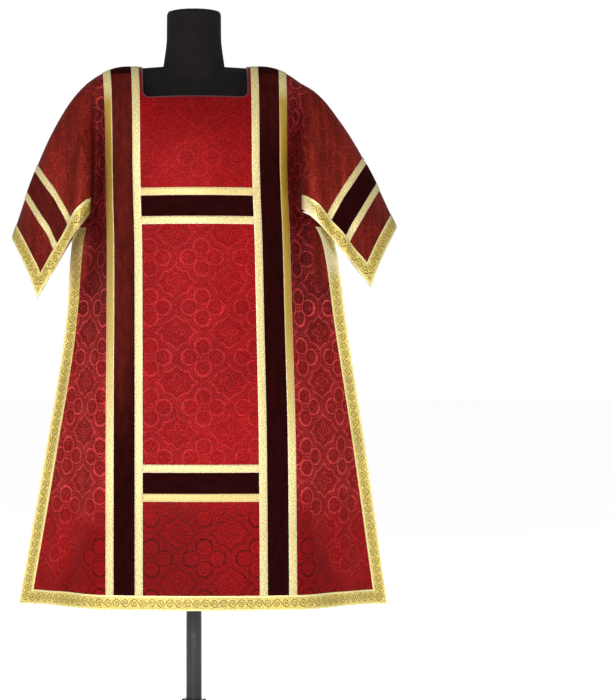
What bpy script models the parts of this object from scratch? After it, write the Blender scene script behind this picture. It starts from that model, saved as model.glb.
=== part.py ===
"""A dalmatic on a limbless dress form.

A deacon's vestment of brocade hangs from the square shoulders of a dress form.  Its sides and
the undersides of its sleeves are open.  Metres, +Z up.  The garment's front faces -Y, and +X is
on the right of someone who looks at that front; left and right below mean -X and +X.
The origin is the centre of the base's underside.

Every piece of cloth is laid out as a grid of values on a surface.  A surface function turns
them into places on the cloth's outer face as it hangs, and the places become a closed wall.
What is sewn on a panel uses the panel's own grid lines, moved out.
"""

import math

import bpy
import numpy as np

# Walls and gaps
CLOTH = 0.0016
TRIM = 0.0012
GAP = 0.0003
SEAM_GAP = 0.0010

# Steps taken along a line where a length of cloth is measured
MEASURE_STEPS = 61

# Widths of the panels' design, from the centre line outwards
CENTRE_HALF = 0.126
NARROW_BRAID = 0.0175
VELVET_STRIPE = 0.046
STRIPES_HALF = CENTRE_HALF + 2 * NARROW_BRAID + VELVET_STRIPE
GALLOON = 0.032
BAND_VELVET = 0.045
BAND_HEIGHT = BAND_VELVET + 2 * NARROW_BRAID
BAND_TOPS = {
    "front": {"chest": 1.1965, "knee": 0.5971},
    "back": {"chest": 1.2205, "knee": 0.6097},
}

# Heights of each panel: its hem at the centre, how far its corners dip below that, and the
# lowest point of the armhole
HEM = {"front": 0.284, "back": 0.300}
HEM_DIP = {"front": 0.007, "back": 0.018}
UNDERARM = 1.158
GALLOON_TOP = {"front": 1.1165, "back": 1.1405}

# Plan sections of the hanging panels.  shift moves the section sideways.  centre_y and stripe_y
# are the depths at the centre line and at the stripes' outer edge.  left_out, right_out and
# edge_y place the panel's edges, measured from the shifted centre line.
SECTION_COLUMNS = ("height", "shift", "centre_y", "stripe_y", "left_out", "right_out", "edge_y")
SECTIONS = {
    "front": (
        (0.270, 0.0168, -0.195, -0.180, 0.4094, 0.4158, -0.020),
        (0.616, 0.0155, -0.185, -0.162, 0.3465, 0.3680, -0.020),
        (0.906, 0.0125, -0.170, -0.130, 0.2975, 0.3265, -0.025),
        (1.070, 0.0103, -0.158, -0.112, 0.2830, 0.3050, -0.030),
        (1.120, 0.0090, -0.155, -0.108, 0.2720, 0.2850, -0.042),
        (1.158, 0.0075, -0.153, -0.105, 0.2380, 0.2260, -0.066),
        (1.250, 0.0050, -0.150, -0.100, 0.2270, 0.2170, -0.075),
    ),
    "back": (
        (0.270, -0.006, 0.165, 0.150, 0.379, 0.431, 0.020),
        (0.620, -0.006, 0.150, 0.135, 0.316, 0.381, 0.020),
        (0.906, -0.005, 0.135, 0.118, 0.271, 0.337, 0.022),
        (1.070, -0.004, 0.125, 0.108, 0.262, 0.300, 0.030),
        (1.120, -0.003, 0.122, 0.106, 0.255, 0.280, 0.042),
        (1.158, -0.002, 0.120, 0.104, 0.236, 0.234, 0.060),
        (1.250, 0.000, 0.118, 0.100, 0.225, 0.220, 0.068),
    ),
}
EDGE_SLOPE = 0.2

# The shoulders: each panel leaves its hanging section at SHOULDER_BASE and turns over an
# elliptic curve to the ridge.  The seam lies in front of the ridge.
SHOULDER_BASE = 1.250
RIDGE_Y = 0.010
RIDGE_TOP = 1.478
SHOULDER_FALL_FROM = 0.150
SHOULDER_FALL = 4.5
TOP_STRIPE = 0.206
TOP_EDGE = 0.2385
SEAM_TURN = math.radians(72)
LAST_TURN = {"front": SEAM_TURN, "back": math.pi - SEAM_TURN}
SEAM_MARGIN = 0.001

# Rows of a panel's grid over the shoulder, besides those of the neckline
SHOULDER_ROWS = {"front": (1.2, 1.4, 1.85), "back": (1.2, 1.4, 1.80, 1.887)}

# Neckline: half width, corner radius, and where its bottom lies on the shoulder stretch
NECK_HALF = 0.121
NECK_CORNER = 0.020
NECK_UP = {"front": 1.60, "back": 1.65}
NECK_CORNER_UP = {"front": 0.080, "back": 0.065}
CORNER_STEPS = 3
CORNER_CLEARANCE = 0.01
PIPING_RADIUS = 0.0016
PIPING_SIDES = 6

# Sleeves, measured outwards from the middle plane: the ridge line over the arm and the two free
# edges underneath.  along runs from the armhole at 0 to the cuff at 1.
SLEEVE_COLUMNS = (
    "along", "ridge_out", "ridge_y", "ridge_z",
    "front_out", "front_y", "front_z", "back_out", "back_y", "back_z",
)
SLEEVES = {
    "left": (
        (0.12, 0.262, 0.008, 1.419, 0.236, -0.118, 1.135, 0.246, 0.096, 1.150),
        (0.40, 0.318, 0.005, 1.330, 0.272, -0.130, 1.075, 0.276, 0.112, 1.096),
        (0.70, 0.363, 0.005, 1.225, 0.303, -0.138, 1.018, 0.311, 0.122, 1.036),
        (1.00, 0.408, 0.010, 1.095, 0.340, -0.142, 0.956, 0.349, 0.128, 0.970),
    ),
    "right": (
        (0.12, 0.268, 0.008, 1.425, 0.245, -0.118, 1.146, 0.254, 0.096, 1.158),
        (0.40, 0.335, 0.005, 1.345, 0.298, -0.130, 1.090, 0.302, 0.112, 1.110),
        (0.70, 0.395, 0.005, 1.243, 0.342, -0.138, 1.035, 0.350, 0.122, 1.053),
        (1.00, 0.4546, 0.010, 1.119, 0.385, -0.142, 0.980, 0.395, 0.128, 0.995),
    ),
}
RIDGE_HANDLE = 0.35
EDGE_HANDLE = (0.3, 0.1, 0.5)
SLEEVE_BRAID = 0.0165
SLEEVE_BAND = 0.092
SLEEVE_VELVET = 0.0485
SLEEVE_PARTS = (0.25, 0.5, 0.75, 0.9, 1.0)
SLEEVE_ROWS = (0.0, 0.25, 0.5, 0.75)
BAND_END_MARGIN = 0.003

# The dress form.  Rings of the torso and of the neck join in one smooth skin.
TORSO_COLUMNS = ("height", "half_width", "front", "back")
TORSO = (
    (0.700, 0.140, 0.106, 0.106),
    (0.712, 0.152, 0.116, 0.116),
    (0.800, 0.170, 0.126, 0.126),
    (0.900, 0.166, 0.120, 0.116),
    (1.020, 0.144, 0.104, 0.096),
    (1.150, 0.158, 0.116, 0.100),
    (1.250, 0.172, 0.124, 0.104),
    (1.330, 0.182, 0.114, 0.098),
    (1.390, 0.188, 0.092, 0.086),
    (1.425, 0.187, 0.068, 0.067),
    (1.448, 0.180, 0.046, 0.050),
    (1.462, 0.168, 0.028, 0.040),
    (1.470, 0.150, 0.014, 0.027),
    (1.4745, 0.118, 0.003, 0.015),
)
NECK_COLUMNS = ("height", "half_width", "half_depth")
NECK = (
    (1.400, 0.076, 0.055),
    (1.440, 0.073, 0.055),
    (1.475, 0.069, 0.056),
    (1.510, 0.064, 0.056),
    (1.540, 0.061, 0.056),
    (1.593, 0.0605, 0.056),
    (1.599, 0.058, 0.0535),
    (1.6006, 0.053, 0.0485),
)
FORM_SIDES = 32
TORSO_SQUARENESS = 2.4
BLEND_POWER = 8
JOIN_STEP = 0.003

# Stand
POLE_RADIUS = 0.0175
BASE_PROFILE = (
    (0.190, 0.0), (0.190, 0.011), (0.187, 0.016), (0.180, 0.0185),
    (0.060, 0.024), (0.032, 0.028), (0.028, 0.060), (0.025, 0.064),
)
STAND_SIDES = 36
SHARP_ANGLE = math.radians(50)

MATERIALS = {
    # name: (colour, roughness, metallic)
    "brocade": ((0.25, 0.010, 0.016), 0.55, 0.0),
    "velvet": ((0.020, 0.002, 0.004), 0.85, 0.0),
    "galloon": ((0.72, 0.52, 0.17), 0.40, 0.5),
    "narrow_braid": ((0.78, 0.62, 0.28), 0.45, 0.4),
    "piping": ((0.06, 0.006, 0.008), 0.70, 0.0),
    "jersey": ((0.010, 0.009, 0.010), 0.85, 0.0),
    "stand": ((0.030, 0.030, 0.032), 0.40, 0.6),
}


def clear_scene():
    for item in list(bpy.data.objects):
        bpy.data.objects.remove(item, do_unlink=True)


def material(name):
    """A Principled material of the named finish, made once."""
    existing = bpy.data.materials.get(name)
    if existing:
        return existing
    colour, roughness, metallic = MATERIALS[name]
    made = bpy.data.materials.new(name)
    made.use_nodes = True
    shader = made.node_tree.nodes["Principled BSDF"]
    shader.inputs["Base Color"].default_value = (*colour, 1.0)
    shader.inputs["Roughness"].default_value = roughness
    shader.inputs["Metallic"].default_value = metallic
    made.diffuse_color = (*colour, 1.0)
    return made


def add_solid(name, points, faces, finish):
    """Make one named mesh object from points and faces."""
    mesh = bpy.data.meshes.new(name)
    mesh.from_pydata([tuple(map(float, point)) for point in points], [], faces)
    mesh.validate()
    mesh.shade_smooth()
    mesh.set_sharp_from_angle(angle=SHARP_ANGLE)
    mesh.materials.append(material(finish))
    solid = bpy.data.objects.new(name, mesh)
    bpy.context.collection.objects.link(solid)
    return solid


# ---------------------------------------------------------------- curves

def smooth(knots, values, at):
    """Run smoothly through values at knots, with no overshoot between them.

    values has one entry per knot, or one row of entries, a column for each item of at.
    """
    knots = np.asarray(knots, dtype=float)
    values = np.asarray(values, dtype=float)
    at = np.clip(np.atleast_1d(np.asarray(at, dtype=float)), knots[0], knots[-1])
    if values.ndim == 1:
        values = np.repeat(values[:, None], at.size, axis=1)
    steps = np.diff(knots)[:, None]
    rises = np.diff(values, axis=0) / steps
    product = rises[:-1] * rises[1:]
    total = rises[:-1] + rises[1:]
    slopes = np.empty_like(values)
    slopes[0] = rises[0]
    slopes[-1] = rises[-1]
    slopes[1:-1] = np.where(product > 0, 2 * product / np.where(total == 0, 1, total), 0)
    span = np.clip(np.searchsorted(knots, at, side="right") - 1, 0, len(knots) - 2)
    item = np.arange(at.size)
    step = steps[span, 0]
    part = (at - knots[span]) / step
    return hermite(part, values[span, item], values[span + 1, item],
                   slopes[span, item] * step, slopes[span + 1, item] * step)


def hermite(part, start, end, start_slope, end_slope):
    """Cubic between two values with the given slopes, for part from 0 to 1."""
    return ((2 * part**3 - 3 * part**2 + 1) * start + (part**3 - 2 * part**2 + part) * start_slope
            + (3 * part**2 - 2 * part**3) * end + (part**3 - part**2) * end_slope)


def column(columns, rows, name):
    """One named column of a table."""
    index = columns.index(name)
    return [row[index] for row in rows]


def lengths_along(points):
    """Distance from the first point to each point of a path."""
    steps = np.linalg.norm(np.diff(points, axis=0), axis=1)
    return np.concatenate(([0.0], np.cumsum(steps)))


# ---------------------------------------------------------------- panels

def hang_section(side, across, height):
    """X and Y of a hanging panel.

    across is 0 at the centre line, 1 at the stripes' outer edge and 2 at the panel's edge,
    with a minus sign on the left.
    """
    rows = SECTIONS[side]
    heights = column(SECTION_COLUMNS, rows, "height")
    at = {name: smooth(heights, column(SECTION_COLUMNS, rows, name), height)
          for name in SECTION_COLUMNS[1:]}
    near = np.clip(np.abs(across), 0, 1)
    far = np.clip(np.abs(across) - 1, 0, 1)
    bow = at["stripe_y"] - at["centre_y"]
    stripe_x = STRIPES_HALF / (1 + 2 / 3 * (bow / STRIPES_HALF) ** 2)
    run = np.where(across < 0, at["left_out"], at["right_out"]) - stripe_x
    towards_back = 1 if side == "front" else -1
    far_y = hermite(far, at["stripe_y"], at["edge_y"],
                    2 * bow / stripe_x * run, towards_back * EDGE_SLOPE * run)
    x = at["shift"] + np.sign(across) * (stripe_x * near + run * far)
    y = np.where(far > 0, far_y, at["centre_y"] + bow * near**2)
    return x, y


def ridge_height(out):
    """Height of the shoulder ridge at a distance from the middle plane."""
    return RIDGE_TOP - SHOULDER_FALL * np.clip(np.abs(out) - SHOULDER_FALL_FROM, 0, None) ** 2


def shoulder_turn(part, depth, front_depth, rise, last_turn):
    """Angle reached at a part of the way over the shoulder, by length of cloth."""
    turns = np.linspace(0, last_turn, MEASURE_STEPS)
    depths = np.where(turns <= math.pi / 2, depth[:, None], front_depth[:, None])
    speed = np.hypot(depths * np.sin(turns), rise[:, None] * np.cos(turns))
    pieces = (speed[:, 1:] + speed[:, :-1]) / 2 * (turns[1] - turns[0])
    lengths = np.concatenate((np.zeros((len(depth), 1)), np.cumsum(pieces, axis=1)), axis=1)
    wanted = part * lengths[:, -1]
    return np.array([np.interp(want, row, turns) for want, row in zip(wanted, lengths)])


def panel_place(side, across, up):
    """Places on a panel's outer face.  up is 0 at the hem, 1 where the shoulder curve starts
    and 2 at the shoulder seam."""
    across = np.atleast_1d(np.asarray(across, dtype=float))
    up = np.atleast_1d(np.asarray(up, dtype=float))
    far = np.clip(np.abs(across) - 1, 0, 1)
    hem = HEM[side] - HEM_DIP[side] * far**2
    height = hem + np.clip(up, 0, 1) * (SHOULDER_BASE - hem)
    x, y = hang_section(side, across, height)
    over = up > 1
    if not over.any():
        return np.column_stack((x, y, height))
    near = np.clip(np.abs(across), 0, 1)
    top_x = np.sign(across) * (TOP_STRIPE * near + (TOP_EDGE - TOP_STRIPE) * far)
    rise = ridge_height(top_x) - SHOULDER_BASE
    base = np.full_like(across, SHOULDER_BASE)
    front_x, front_y = hang_section("front", across, base)
    turn = shoulder_turn(np.clip(up - 1, 0, 1), np.abs(y - RIDGE_Y), np.abs(front_y - RIDGE_Y),
                         rise, LAST_TURN[side])
    past = turn > math.pi / 2
    start_x = np.where(past, front_x, x)
    depth = np.where(past, np.abs(front_y - RIDGE_Y), y - RIDGE_Y)
    over_x = start_x + (top_x - start_x) * (1 - np.abs(np.cos(turn)))
    over_y = RIDGE_Y + depth * np.cos(turn)
    over_z = SHOULDER_BASE + rise * np.sin(turn)
    return np.column_stack((np.where(over, over_x, x), np.where(over, over_y, y),
                            np.where(over, over_z, height)))


def height_to_up(side, height):
    return (height - HEM[side]) / (SHOULDER_BASE - HEM[side])


def galloon_line(side, hand_sign, up):
    """How far across the side part the galloon's inner edge runs, as a value from 0 to 1."""
    far = np.linspace(0, 1, MEASURE_STEPS)
    path = panel_place(side, hand_sign * (1 + far), np.full_like(far, up))
    lengths = lengths_along(path)
    return max(LEAST_INNER, float(np.interp(lengths[-1] - GALLOON, lengths, far)))


CENTRE_LINES = tuple(
    line / STRIPES_HALF
    for line in (
        NECK_HALF - NECK_CORNER,
        NECK_HALF,
        CENTRE_HALF,
        CENTRE_HALF + NARROW_BRAID,
        CENTRE_HALF + NARROW_BRAID + VELVET_STRIPE,
        STRIPES_HALF,
    )
)
SIDE_PARTS = (1 / 3, 2 / 3, 1)
LEAST_INNER = 0.4
PLAIN_ROWS = (0.40, 0.75, 0.906, 1.07)


def panel_columns(side, up):
    """The across values of one row of a panel's grid, from left to right."""
    halves = {}
    for hand_sign in (-1, 1):
        inner = galloon_line(side, hand_sign, up)
        far = [inner * part for part in SIDE_PARTS] + [1.0]
        halves[hand_sign] = [*CENTRE_LINES, *(1 + value for value in far)]
    left = [-value for value in reversed(halves[-1])]
    return [*left, 0.0, *halves[1]]


def band_lines(side, place):
    """Heights of a cross band's four edges, from the top down."""
    top = BAND_TOPS[side][place]
    return (top, top - NARROW_BRAID, top - NARROW_BRAID - BAND_VELVET, top - BAND_HEIGHT)


def panel_rows(side):
    """The up values of a panel's grid rows, from the hem to the shoulder seam."""
    heights = [HEM[side], HEM[side] + GALLOON, *PLAIN_ROWS, UNDERARM, SHOULDER_BASE]
    for place in ("chest", "knee"):
        heights.extend(band_lines(side, place))
    heights = sorted({round(height, 5) for height in heights})
    rows = [height_to_up(side, height) for height in heights]
    neck = NECK_UP[side]
    corner = neck + NECK_CORNER_UP[side]
    return [*rows, *sorted((*SHOULDER_ROWS[side], neck, corner)), 2 - SEAM_MARGIN]


def grid_layout(rows, skip=None):
    """Points and triangles of a grid, given rows of point pairs from bottom to top."""
    points = [pair for row in rows for pair in row]
    width = len(rows[0])
    triangles = []
    for i in range(len(rows) - 1):
        for j in range(width - 1):
            if skip and skip(i, j):
                continue
            low_left = i * width + j
            low_right = low_left + 1
            high_left = low_left + width
            high_right = high_left + 1
            triangles.append((low_left, low_right, high_right))
            triangles.append((low_left, high_right, high_left))
    return points, triangles


def close_wall(name, place, facing, layout, lift, thickness, finish):
    """Turn a layout on a surface into a closed wall, lift above the surface's own face."""
    pairs, triangles = layout
    used = sorted({index for triangle in triangles for index in triangle})
    renumber = {old: new for new, old in enumerate(used)}
    triangles = [tuple(renumber[index] for index in triangle) for triangle in triangles]
    if facing < 0:
        triangles = [(a, c, b) for a, b, c in triangles]
    values = np.array([pairs[index] for index in used])
    points = place(values[:, 0], values[:, 1])
    normals = facing * face_normals(place, values)
    count = len(points)
    faces = list(triangles)
    faces.extend((count + c, count + b, count + a) for a, b, c in triangles)
    edges = {(t[k], t[(k + 1) % 3]) for t in triangles for k in range(3)}
    for a, b in sorted(edges):
        if (b, a) not in edges:
            faces.append((b, a, count + a))
            faces.append((b, count + a, count + b))
    outer = points + normals * (lift + thickness)
    inner = points + normals * lift
    return add_solid(name, np.vstack((outer, inner)), faces, finish)


def face_normals(place, values):
    """Unit normals of a surface, from short steps along its two values."""
    step = 1e-3
    across = np.array([step, 0.0])
    up = np.array([0.0, step])
    along_first = place(*(values + across).T) - place(*(values - across).T)
    along_second = place(*(values + up).T) - place(*(values - up).T)
    normals = np.cross(along_first, along_second)
    return normals / np.linalg.norm(normals, axis=1)[:, None]


def between(lines, low, high, margin):
    """The grid lines from low to high, with both ends drawn in by a margin."""
    inside = [line for line in lines if low + 3 * margin < line < high - 3 * margin]
    return [low + margin, *inside, high - margin]


FACING = {"front": 1, "back": -1}
HANDS = {"left": -1, "right": 1}


class Panel:
    """Front or back of the garment, with all that is sewn on it."""

    def __init__(self, side):
        self.side = side
        self.rows = panel_rows(side)
        self.columns = [panel_columns(side, up) for up in self.rows]

    def place(self, across, up):
        return panel_place(self.side, across, up)

    def wall(self, name, layout, lift, thickness, finish):
        return close_wall(name, self.place, FACING[self.side], layout, lift, thickness, finish)

    def row_of(self, up):
        return int(np.argmin([abs(row - up) for row in self.rows]))

    def pairs(self):
        return [[(across, up) for across in columns]
                for columns, up in zip(self.columns, self.rows)]

    def cloth(self):
        """The brocade panel with its square neckline and rounded lower corners."""
        neck_row = self.row_of(NECK_UP[self.side])
        half = NECK_HALF / STRIPES_HALF
        rows = self.pairs()

        def in_neck(i, j):
            middle = (self.columns[i][j] + self.columns[i][j + 1]) / 2
            return i >= neck_row and abs(middle) < half

        points, triangles = grid_layout(rows, in_neck)
        width = len(rows[0])
        for hand_sign in (-1, 1):
            corner_column = int(np.argmin([abs(value - hand_sign * half)
                                           for value in self.columns[neck_row]]))
            corner = neck_row * width + corner_column
            top = corner + width
            foot = corner - hand_sign
            arc = [top]
            for pair in neck_corner(self.side, hand_sign, 0.0)[1:-1]:
                points.append(pair)
                arc.append(len(points) - 1)
            arc.append(foot)
            for first, second in zip(arc, arc[1:]):
                triangles.append((corner, second, first) if hand_sign < 0
                                 else (corner, first, second))
        self.wall(f"{self.side}_panel", (points, triangles), -CLOTH, CLOTH, "brocade")

    def strip(self, name, low, high, bottom, top, finish):
        """A straight piece between two across values and two up values."""
        margin = GAP / STRIPES_HALF / 2
        up_margin = GAP / (SHOULDER_BASE - HEM[self.side])
        middle = self.row_of((bottom + top) / 2)
        across = between(self.columns[middle], low, high, margin)
        ups = between(self.rows, bottom, top, up_margin)
        rows = [[(value, up) for value in across] for up in ups]
        self.wall(name, grid_layout(rows), GAP, TRIM, finish)

    def stripes(self):
        """Velvet stripes from the hem galloon to the shoulder seam, with a braid each side."""
        bottom = self.rows[1]
        top = self.rows[-1]
        lines = CENTRE_LINES[-4:]
        names = ("stripe_braid_{}_{}_inner", "velvet_stripe_{}_{}", "stripe_braid_{}_{}_outer")
        finishes = ("narrow_braid", "velvet", "narrow_braid")
        for hand, sign in HANDS.items():
            for name, finish, near, far in zip(names, finishes, lines, lines[1:]):
                low, high = sorted((sign * near, sign * far))
                self.strip(name.format(self.side, hand), low, high, bottom, top, finish)

    def bands(self):
        """Velvet cross bands between the stripes, with a braid above and below."""
        half = CENTRE_HALF / STRIPES_HALF
        names = ("band_braid_{}_{}_upper", "velvet_band_{}_{}", "band_braid_{}_{}_lower")
        finishes = ("narrow_braid", "velvet", "narrow_braid")
        for place in BAND_TOPS[self.side]:
            ups = [height_to_up(self.side, height) for height in band_lines(self.side, place)]
            for name, finish, top, bottom in zip(names, finishes, ups, ups[1:]):
                self.strip(name.format(self.side, place), -half, half, bottom, top, finish)

    def galloon(self):
        """Wide braid up both side edges and along the hem."""
        last_row = self.row_of(height_to_up(self.side, GALLOON_TOP[self.side]))
        last_column = len(self.columns[0]) - 2
        rows = self.pairs()[:last_row + 1]

        def inside(i, j):
            return i > 0 and 0 < j < last_column

        layout = grid_layout(rows, inside)
        self.wall(f"edge_galloon_{self.side}", layout, GAP, TRIM, "galloon")


def neck_corner(side, hand_sign, inset):
    """Points round a neckline corner, from its side down to its bottom edge."""
    radius = NECK_CORNER - inset
    centre = (NECK_HALF - NECK_CORNER) / STRIPES_HALF
    rise = NECK_CORNER_UP[side]
    points = []
    for step in range(CORNER_STEPS + 1):
        angle = math.pi / 2 * step / CORNER_STEPS
        points.append((
            hand_sign * (centre + radius * math.cos(angle) / STRIPES_HALF),
            NECK_UP[side] + rise * (1 - radius / NECK_CORNER * math.sin(angle)),
        ))
    return points


# ---------------------------------------------------------------- neck piping

def neckline_path(side):
    """Values along a panel's neckline from its left to its right end, drawn in for the piping."""
    inset = PIPING_RADIUS + GAP
    left = neck_corner(side, -1, inset)
    right = neck_corner(side, 1, inset)[::-1]
    ups = [up for up in panel_rows(side) if up > left[0][1] + CORNER_CLEARANCE]
    down_left = [(left[0][0], up) for up in reversed(ups)]
    up_right = [(right[-1][0], up) for up in ups]
    return [*down_left, *left, (0.0, left[-1][1]), *right, *up_right]


def add_neck_piping():
    """A round piping just inside the whole neck opening."""
    centres = []
    for side, order in (("front", 1), ("back", -1)):
        values = np.array(neckline_path(side)[::order])
        def place(across, up, side=side):
            return panel_place(side, across, up)
        normals = FACING[side] * face_normals(place, values)
        points = place(*values.T) - normals * CLOTH / 2
        centres.extend(points if side == "front" else points[1:-1])
    centres = np.array(centres)
    count = len(centres)
    middle = centres.mean(axis=0)
    points = []
    for i in range(count):
        along = centres[(i + 1) % count] - centres[i - 1]
        along = along / np.linalg.norm(along)
        outward = centres[i] - middle
        outward = outward - along * outward.dot(along)
        outward = outward / np.linalg.norm(outward)
        across = np.cross(along, outward)
        for k in range(PIPING_SIDES):
            angle = 2 * math.pi * (k + 0.5) / PIPING_SIDES
            points.append(centres[i] + PIPING_RADIUS
                          * (math.cos(angle) * outward + math.sin(angle) * across))
    faces = []
    for i in range(count):
        here = i * PIPING_SIDES
        there = (i + 1) % count * PIPING_SIDES
        for k in range(PIPING_SIDES):
            after = (k + 1) % PIPING_SIDES
            faces.append((here + k, here + after, there + after))
            faces.append((here + k, there + after, there + k))
    add_solid("neck_piping", points, faces, "piping")


# ---------------------------------------------------------------- sleeves

def armhole_path(hand):
    """The armhole's edge from the front underarm over the ridge to the back underarm, with a
    value from -1 to 1 for each point that is 0 at the ridge."""
    across = 2.0 * HANDS[hand]
    paths = []
    for side in ("front", "back"):
        ups = np.concatenate((np.linspace(height_to_up(side, UNDERARM), 1, MEASURE_STEPS)[:-1],
                              np.linspace(1, 2, MEASURE_STEPS)))
        path = panel_place(side, np.full_like(ups, across), ups)
        paths.append(path if side == "front" else path[::-1])
    path = np.vstack((paths[0][:-1], paths[1]))
    lengths = lengths_along(path)
    top = int(np.argmax(path[:, 2]))
    value = np.where(lengths <= lengths[top], lengths / lengths[top] - 1,
                     (lengths - lengths[top]) / (lengths[-1] - lengths[top]))
    path[:, 0] += SEAM_GAP * HANDS[hand]
    return value, path


ARMHOLES = {hand: armhole_path(hand) for hand in HANDS}


def sleeve_section(row, hand, around):
    """Places on one section of a sleeve.  around is -1 at the front edge, 0 at the ridge and 1
    at the back edge.  The cloth leaves the ridge level and hangs almost straight at its edge."""
    named = dict(zip(SLEEVE_COLUMNS, row))
    ridge = np.array([named["ridge_out"] * HANDS[hand], named["ridge_y"], named["ridge_z"]])
    points = np.zeros((around.size, 3))
    for side, chosen in (("front", around <= 0), ("back", around > 0)):
        edge = np.array([named[side + "_out"] * HANDS[hand], named[side + "_y"],
                         named[side + "_z"]])
        part = np.abs(around[chosen])[:, None]
        reach = edge - ridge
        near_ridge = ridge + np.array([0, RIDGE_HANDLE * reach[1], 0])
        near_edge = edge - reach * np.array(EDGE_HANDLE)
        points[chosen] = ((1 - part) ** 3 * ridge + 3 * (1 - part) ** 2 * part * near_ridge
                          + 3 * (1 - part) * part**2 * near_edge + part**3 * edge)
    return points


def sleeve_place(hand, along, around):
    """Places on a sleeve's outer face."""
    along = np.atleast_1d(np.asarray(along, dtype=float))
    around = np.clip(np.atleast_1d(np.asarray(around, dtype=float)), -1, 1)
    value, path = ARMHOLES[hand]
    armhole = np.column_stack([np.interp(around, value, path[:, k]) for k in range(3)])
    stations = [armhole, *(sleeve_section(row, hand, around) for row in SLEEVES[hand])]
    knots = [0.0, *column(SLEEVE_COLUMNS, SLEEVES[hand], "along")]
    return np.column_stack([smooth(knots, [station[:, k] for station in stations], along)
                            for k in range(3)])


class Sleeve:
    """One sleeve, folded over its ridge and open underneath."""

    def __init__(self, hand):
        self.hand = hand
        self.band = (SLEEVE_BAND, SLEEVE_BAND + SLEEVE_BRAID,
                     SLEEVE_BAND + SLEEVE_BRAID + SLEEVE_VELVET,
                     SLEEVE_BAND + 2 * SLEEVE_BRAID + SLEEVE_VELVET)
        self.distances = (0.0, GALLOON, (GALLOON + self.band[0]) / 2, self.band[0], self.band[1],
                          (self.band[1] + self.band[2]) / 2, self.band[2], self.band[3])

    def place(self, along, around):
        return sleeve_place(self.hand, along, around)

    def along_at(self, around, distance):
        """The along value at a distance from the cuff, measured on the cloth."""
        along = np.linspace(0, 1, MEASURE_STEPS)
        lengths = lengths_along(self.place(along, np.full_like(along, around)))
        return float(np.interp(lengths[-1] - distance, lengths, along))

    def galloon_at(self, along, sign):
        """The around value of the galloon's inner edge beside one free edge."""
        around = sign * np.linspace(0, 1, MEASURE_STEPS)
        lengths = lengths_along(self.place(np.full_like(around, along), around))
        return float(np.interp(lengths[-1] - GALLOON, lengths, around * sign))

    def row(self, distance, above_band=None):
        """One row of (along, around) pairs, from the front edge to the back edge."""
        pairs = []
        for sign in (-1, 1):
            along = self.along_at(0.9 * sign, distance)
            if above_band is not None:
                along *= above_band
            inner = self.galloon_at(along, sign)
            half = [sign * inner * part for part in SLEEVE_PARTS] + [float(sign)]
            pairs.append(half)
        arounds = [*reversed(pairs[0]), 0.0, *pairs[1]]
        row = []
        for around in arounds:
            along = self.along_at(around, distance)
            if above_band is not None:
                along *= above_band
            row.append((along, around))
        return row

    def rows(self):
        band = [self.row(distance) for distance in reversed(self.distances)]
        above = [self.row(self.distances[-1], part) for part in SLEEVE_ROWS]
        return [*above, *band]

    def wall(self, name, layout, lift, thickness, finish):
        facing = HANDS[self.hand]
        points, triangles = layout
        turned = [(a, c, b) for a, b, c in triangles]
        close_wall(name, self.place, facing, (points, turned), lift, thickness, finish)

    def build(self):
        rows = self.rows()
        hand = self.hand
        self.wall(f"sleeve_{hand}", grid_layout(rows), -CLOTH, CLOTH, "brocade")
        last_column = len(rows[0]) - 2
        last_row = len(rows) - 2

        def bare(i, j):
            return i < 2 or i < last_row and 0 < j < last_column

        self.wall(f"sleeve_galloon_{hand}", grid_layout(rows, bare), GAP, TRIM, "galloon")
        names = (("sleeve_braid_{}_lower", "narrow_braid"), ("sleeve_velvet_{}", "velvet"),
                 ("sleeve_braid_{}_upper", "narrow_braid"))
        for (name, finish), near, far in zip(names, self.band, self.band[1:]):
            distances = between(self.distances, near, far, GAP / 2)
            strip = []
            for distance in reversed(distances):
                pairs = self.row(distance)[1:-1]
                pairs[0] = (pairs[0][0], pairs[0][1] + BAND_END_MARGIN)
                pairs[-1] = (pairs[-1][0], pairs[-1][1] - BAND_END_MARGIN)
                strip.append(pairs)
            self.wall(name.format(hand), grid_layout(strip), GAP, TRIM, finish)


# ---------------------------------------------------------------- dress form and stand

def form_radius(height, angle):
    """Radius of the form's skin: the torso and the neck, joined smoothly."""
    heights = column(TORSO_COLUMNS, TORSO, "height")
    neck_heights = column(NECK_COLUMNS, NECK, "height")
    parts = []
    if height <= heights[-1]:
        width, front, back = (float(smooth(heights, column(TORSO_COLUMNS, TORSO, name), height)[0])
                              for name in TORSO_COLUMNS[1:])
        depth = back if math.sin(angle) > 0 else front
        power = TORSO_SQUARENESS
        parts.append((abs(math.cos(angle) / width) ** power
                      + abs(math.sin(angle) / depth) ** power) ** (-1 / power))
    if height >= neck_heights[0]:
        width, depth = (float(smooth(neck_heights, column(NECK_COLUMNS, NECK, name), height)[0])
                        for name in NECK_COLUMNS[1:])
        parts.append(1 / math.hypot(math.cos(angle) / width, math.sin(angle) / depth))
    return sum(part**BLEND_POWER for part in parts) ** (1 / BLEND_POWER)


def ring_solid(name, rings, finish):
    """A closed solid through rings of points, listed from the bottom up."""
    sides = len(rings[0])
    points = [point for ring in rings for point in ring]
    faces = []
    for i in range(len(rings) - 1):
        for k in range(sides):
            here = i * sides + k
            beside = i * sides + (k + 1) % sides
            faces.append((here, beside, beside + sides))
            faces.append((here, beside + sides, here + sides))
    for ring, order in ((0, 1), (len(rings) - 1, -1)):
        middle = len(points)
        points.append(np.mean(rings[ring], axis=0))
        for k in range(sides):
            pair = (ring * sides + (k + 1) % sides, ring * sides + k)
            faces.append((middle, *pair[::order]))
    return add_solid(name, points, faces, finish)


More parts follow.
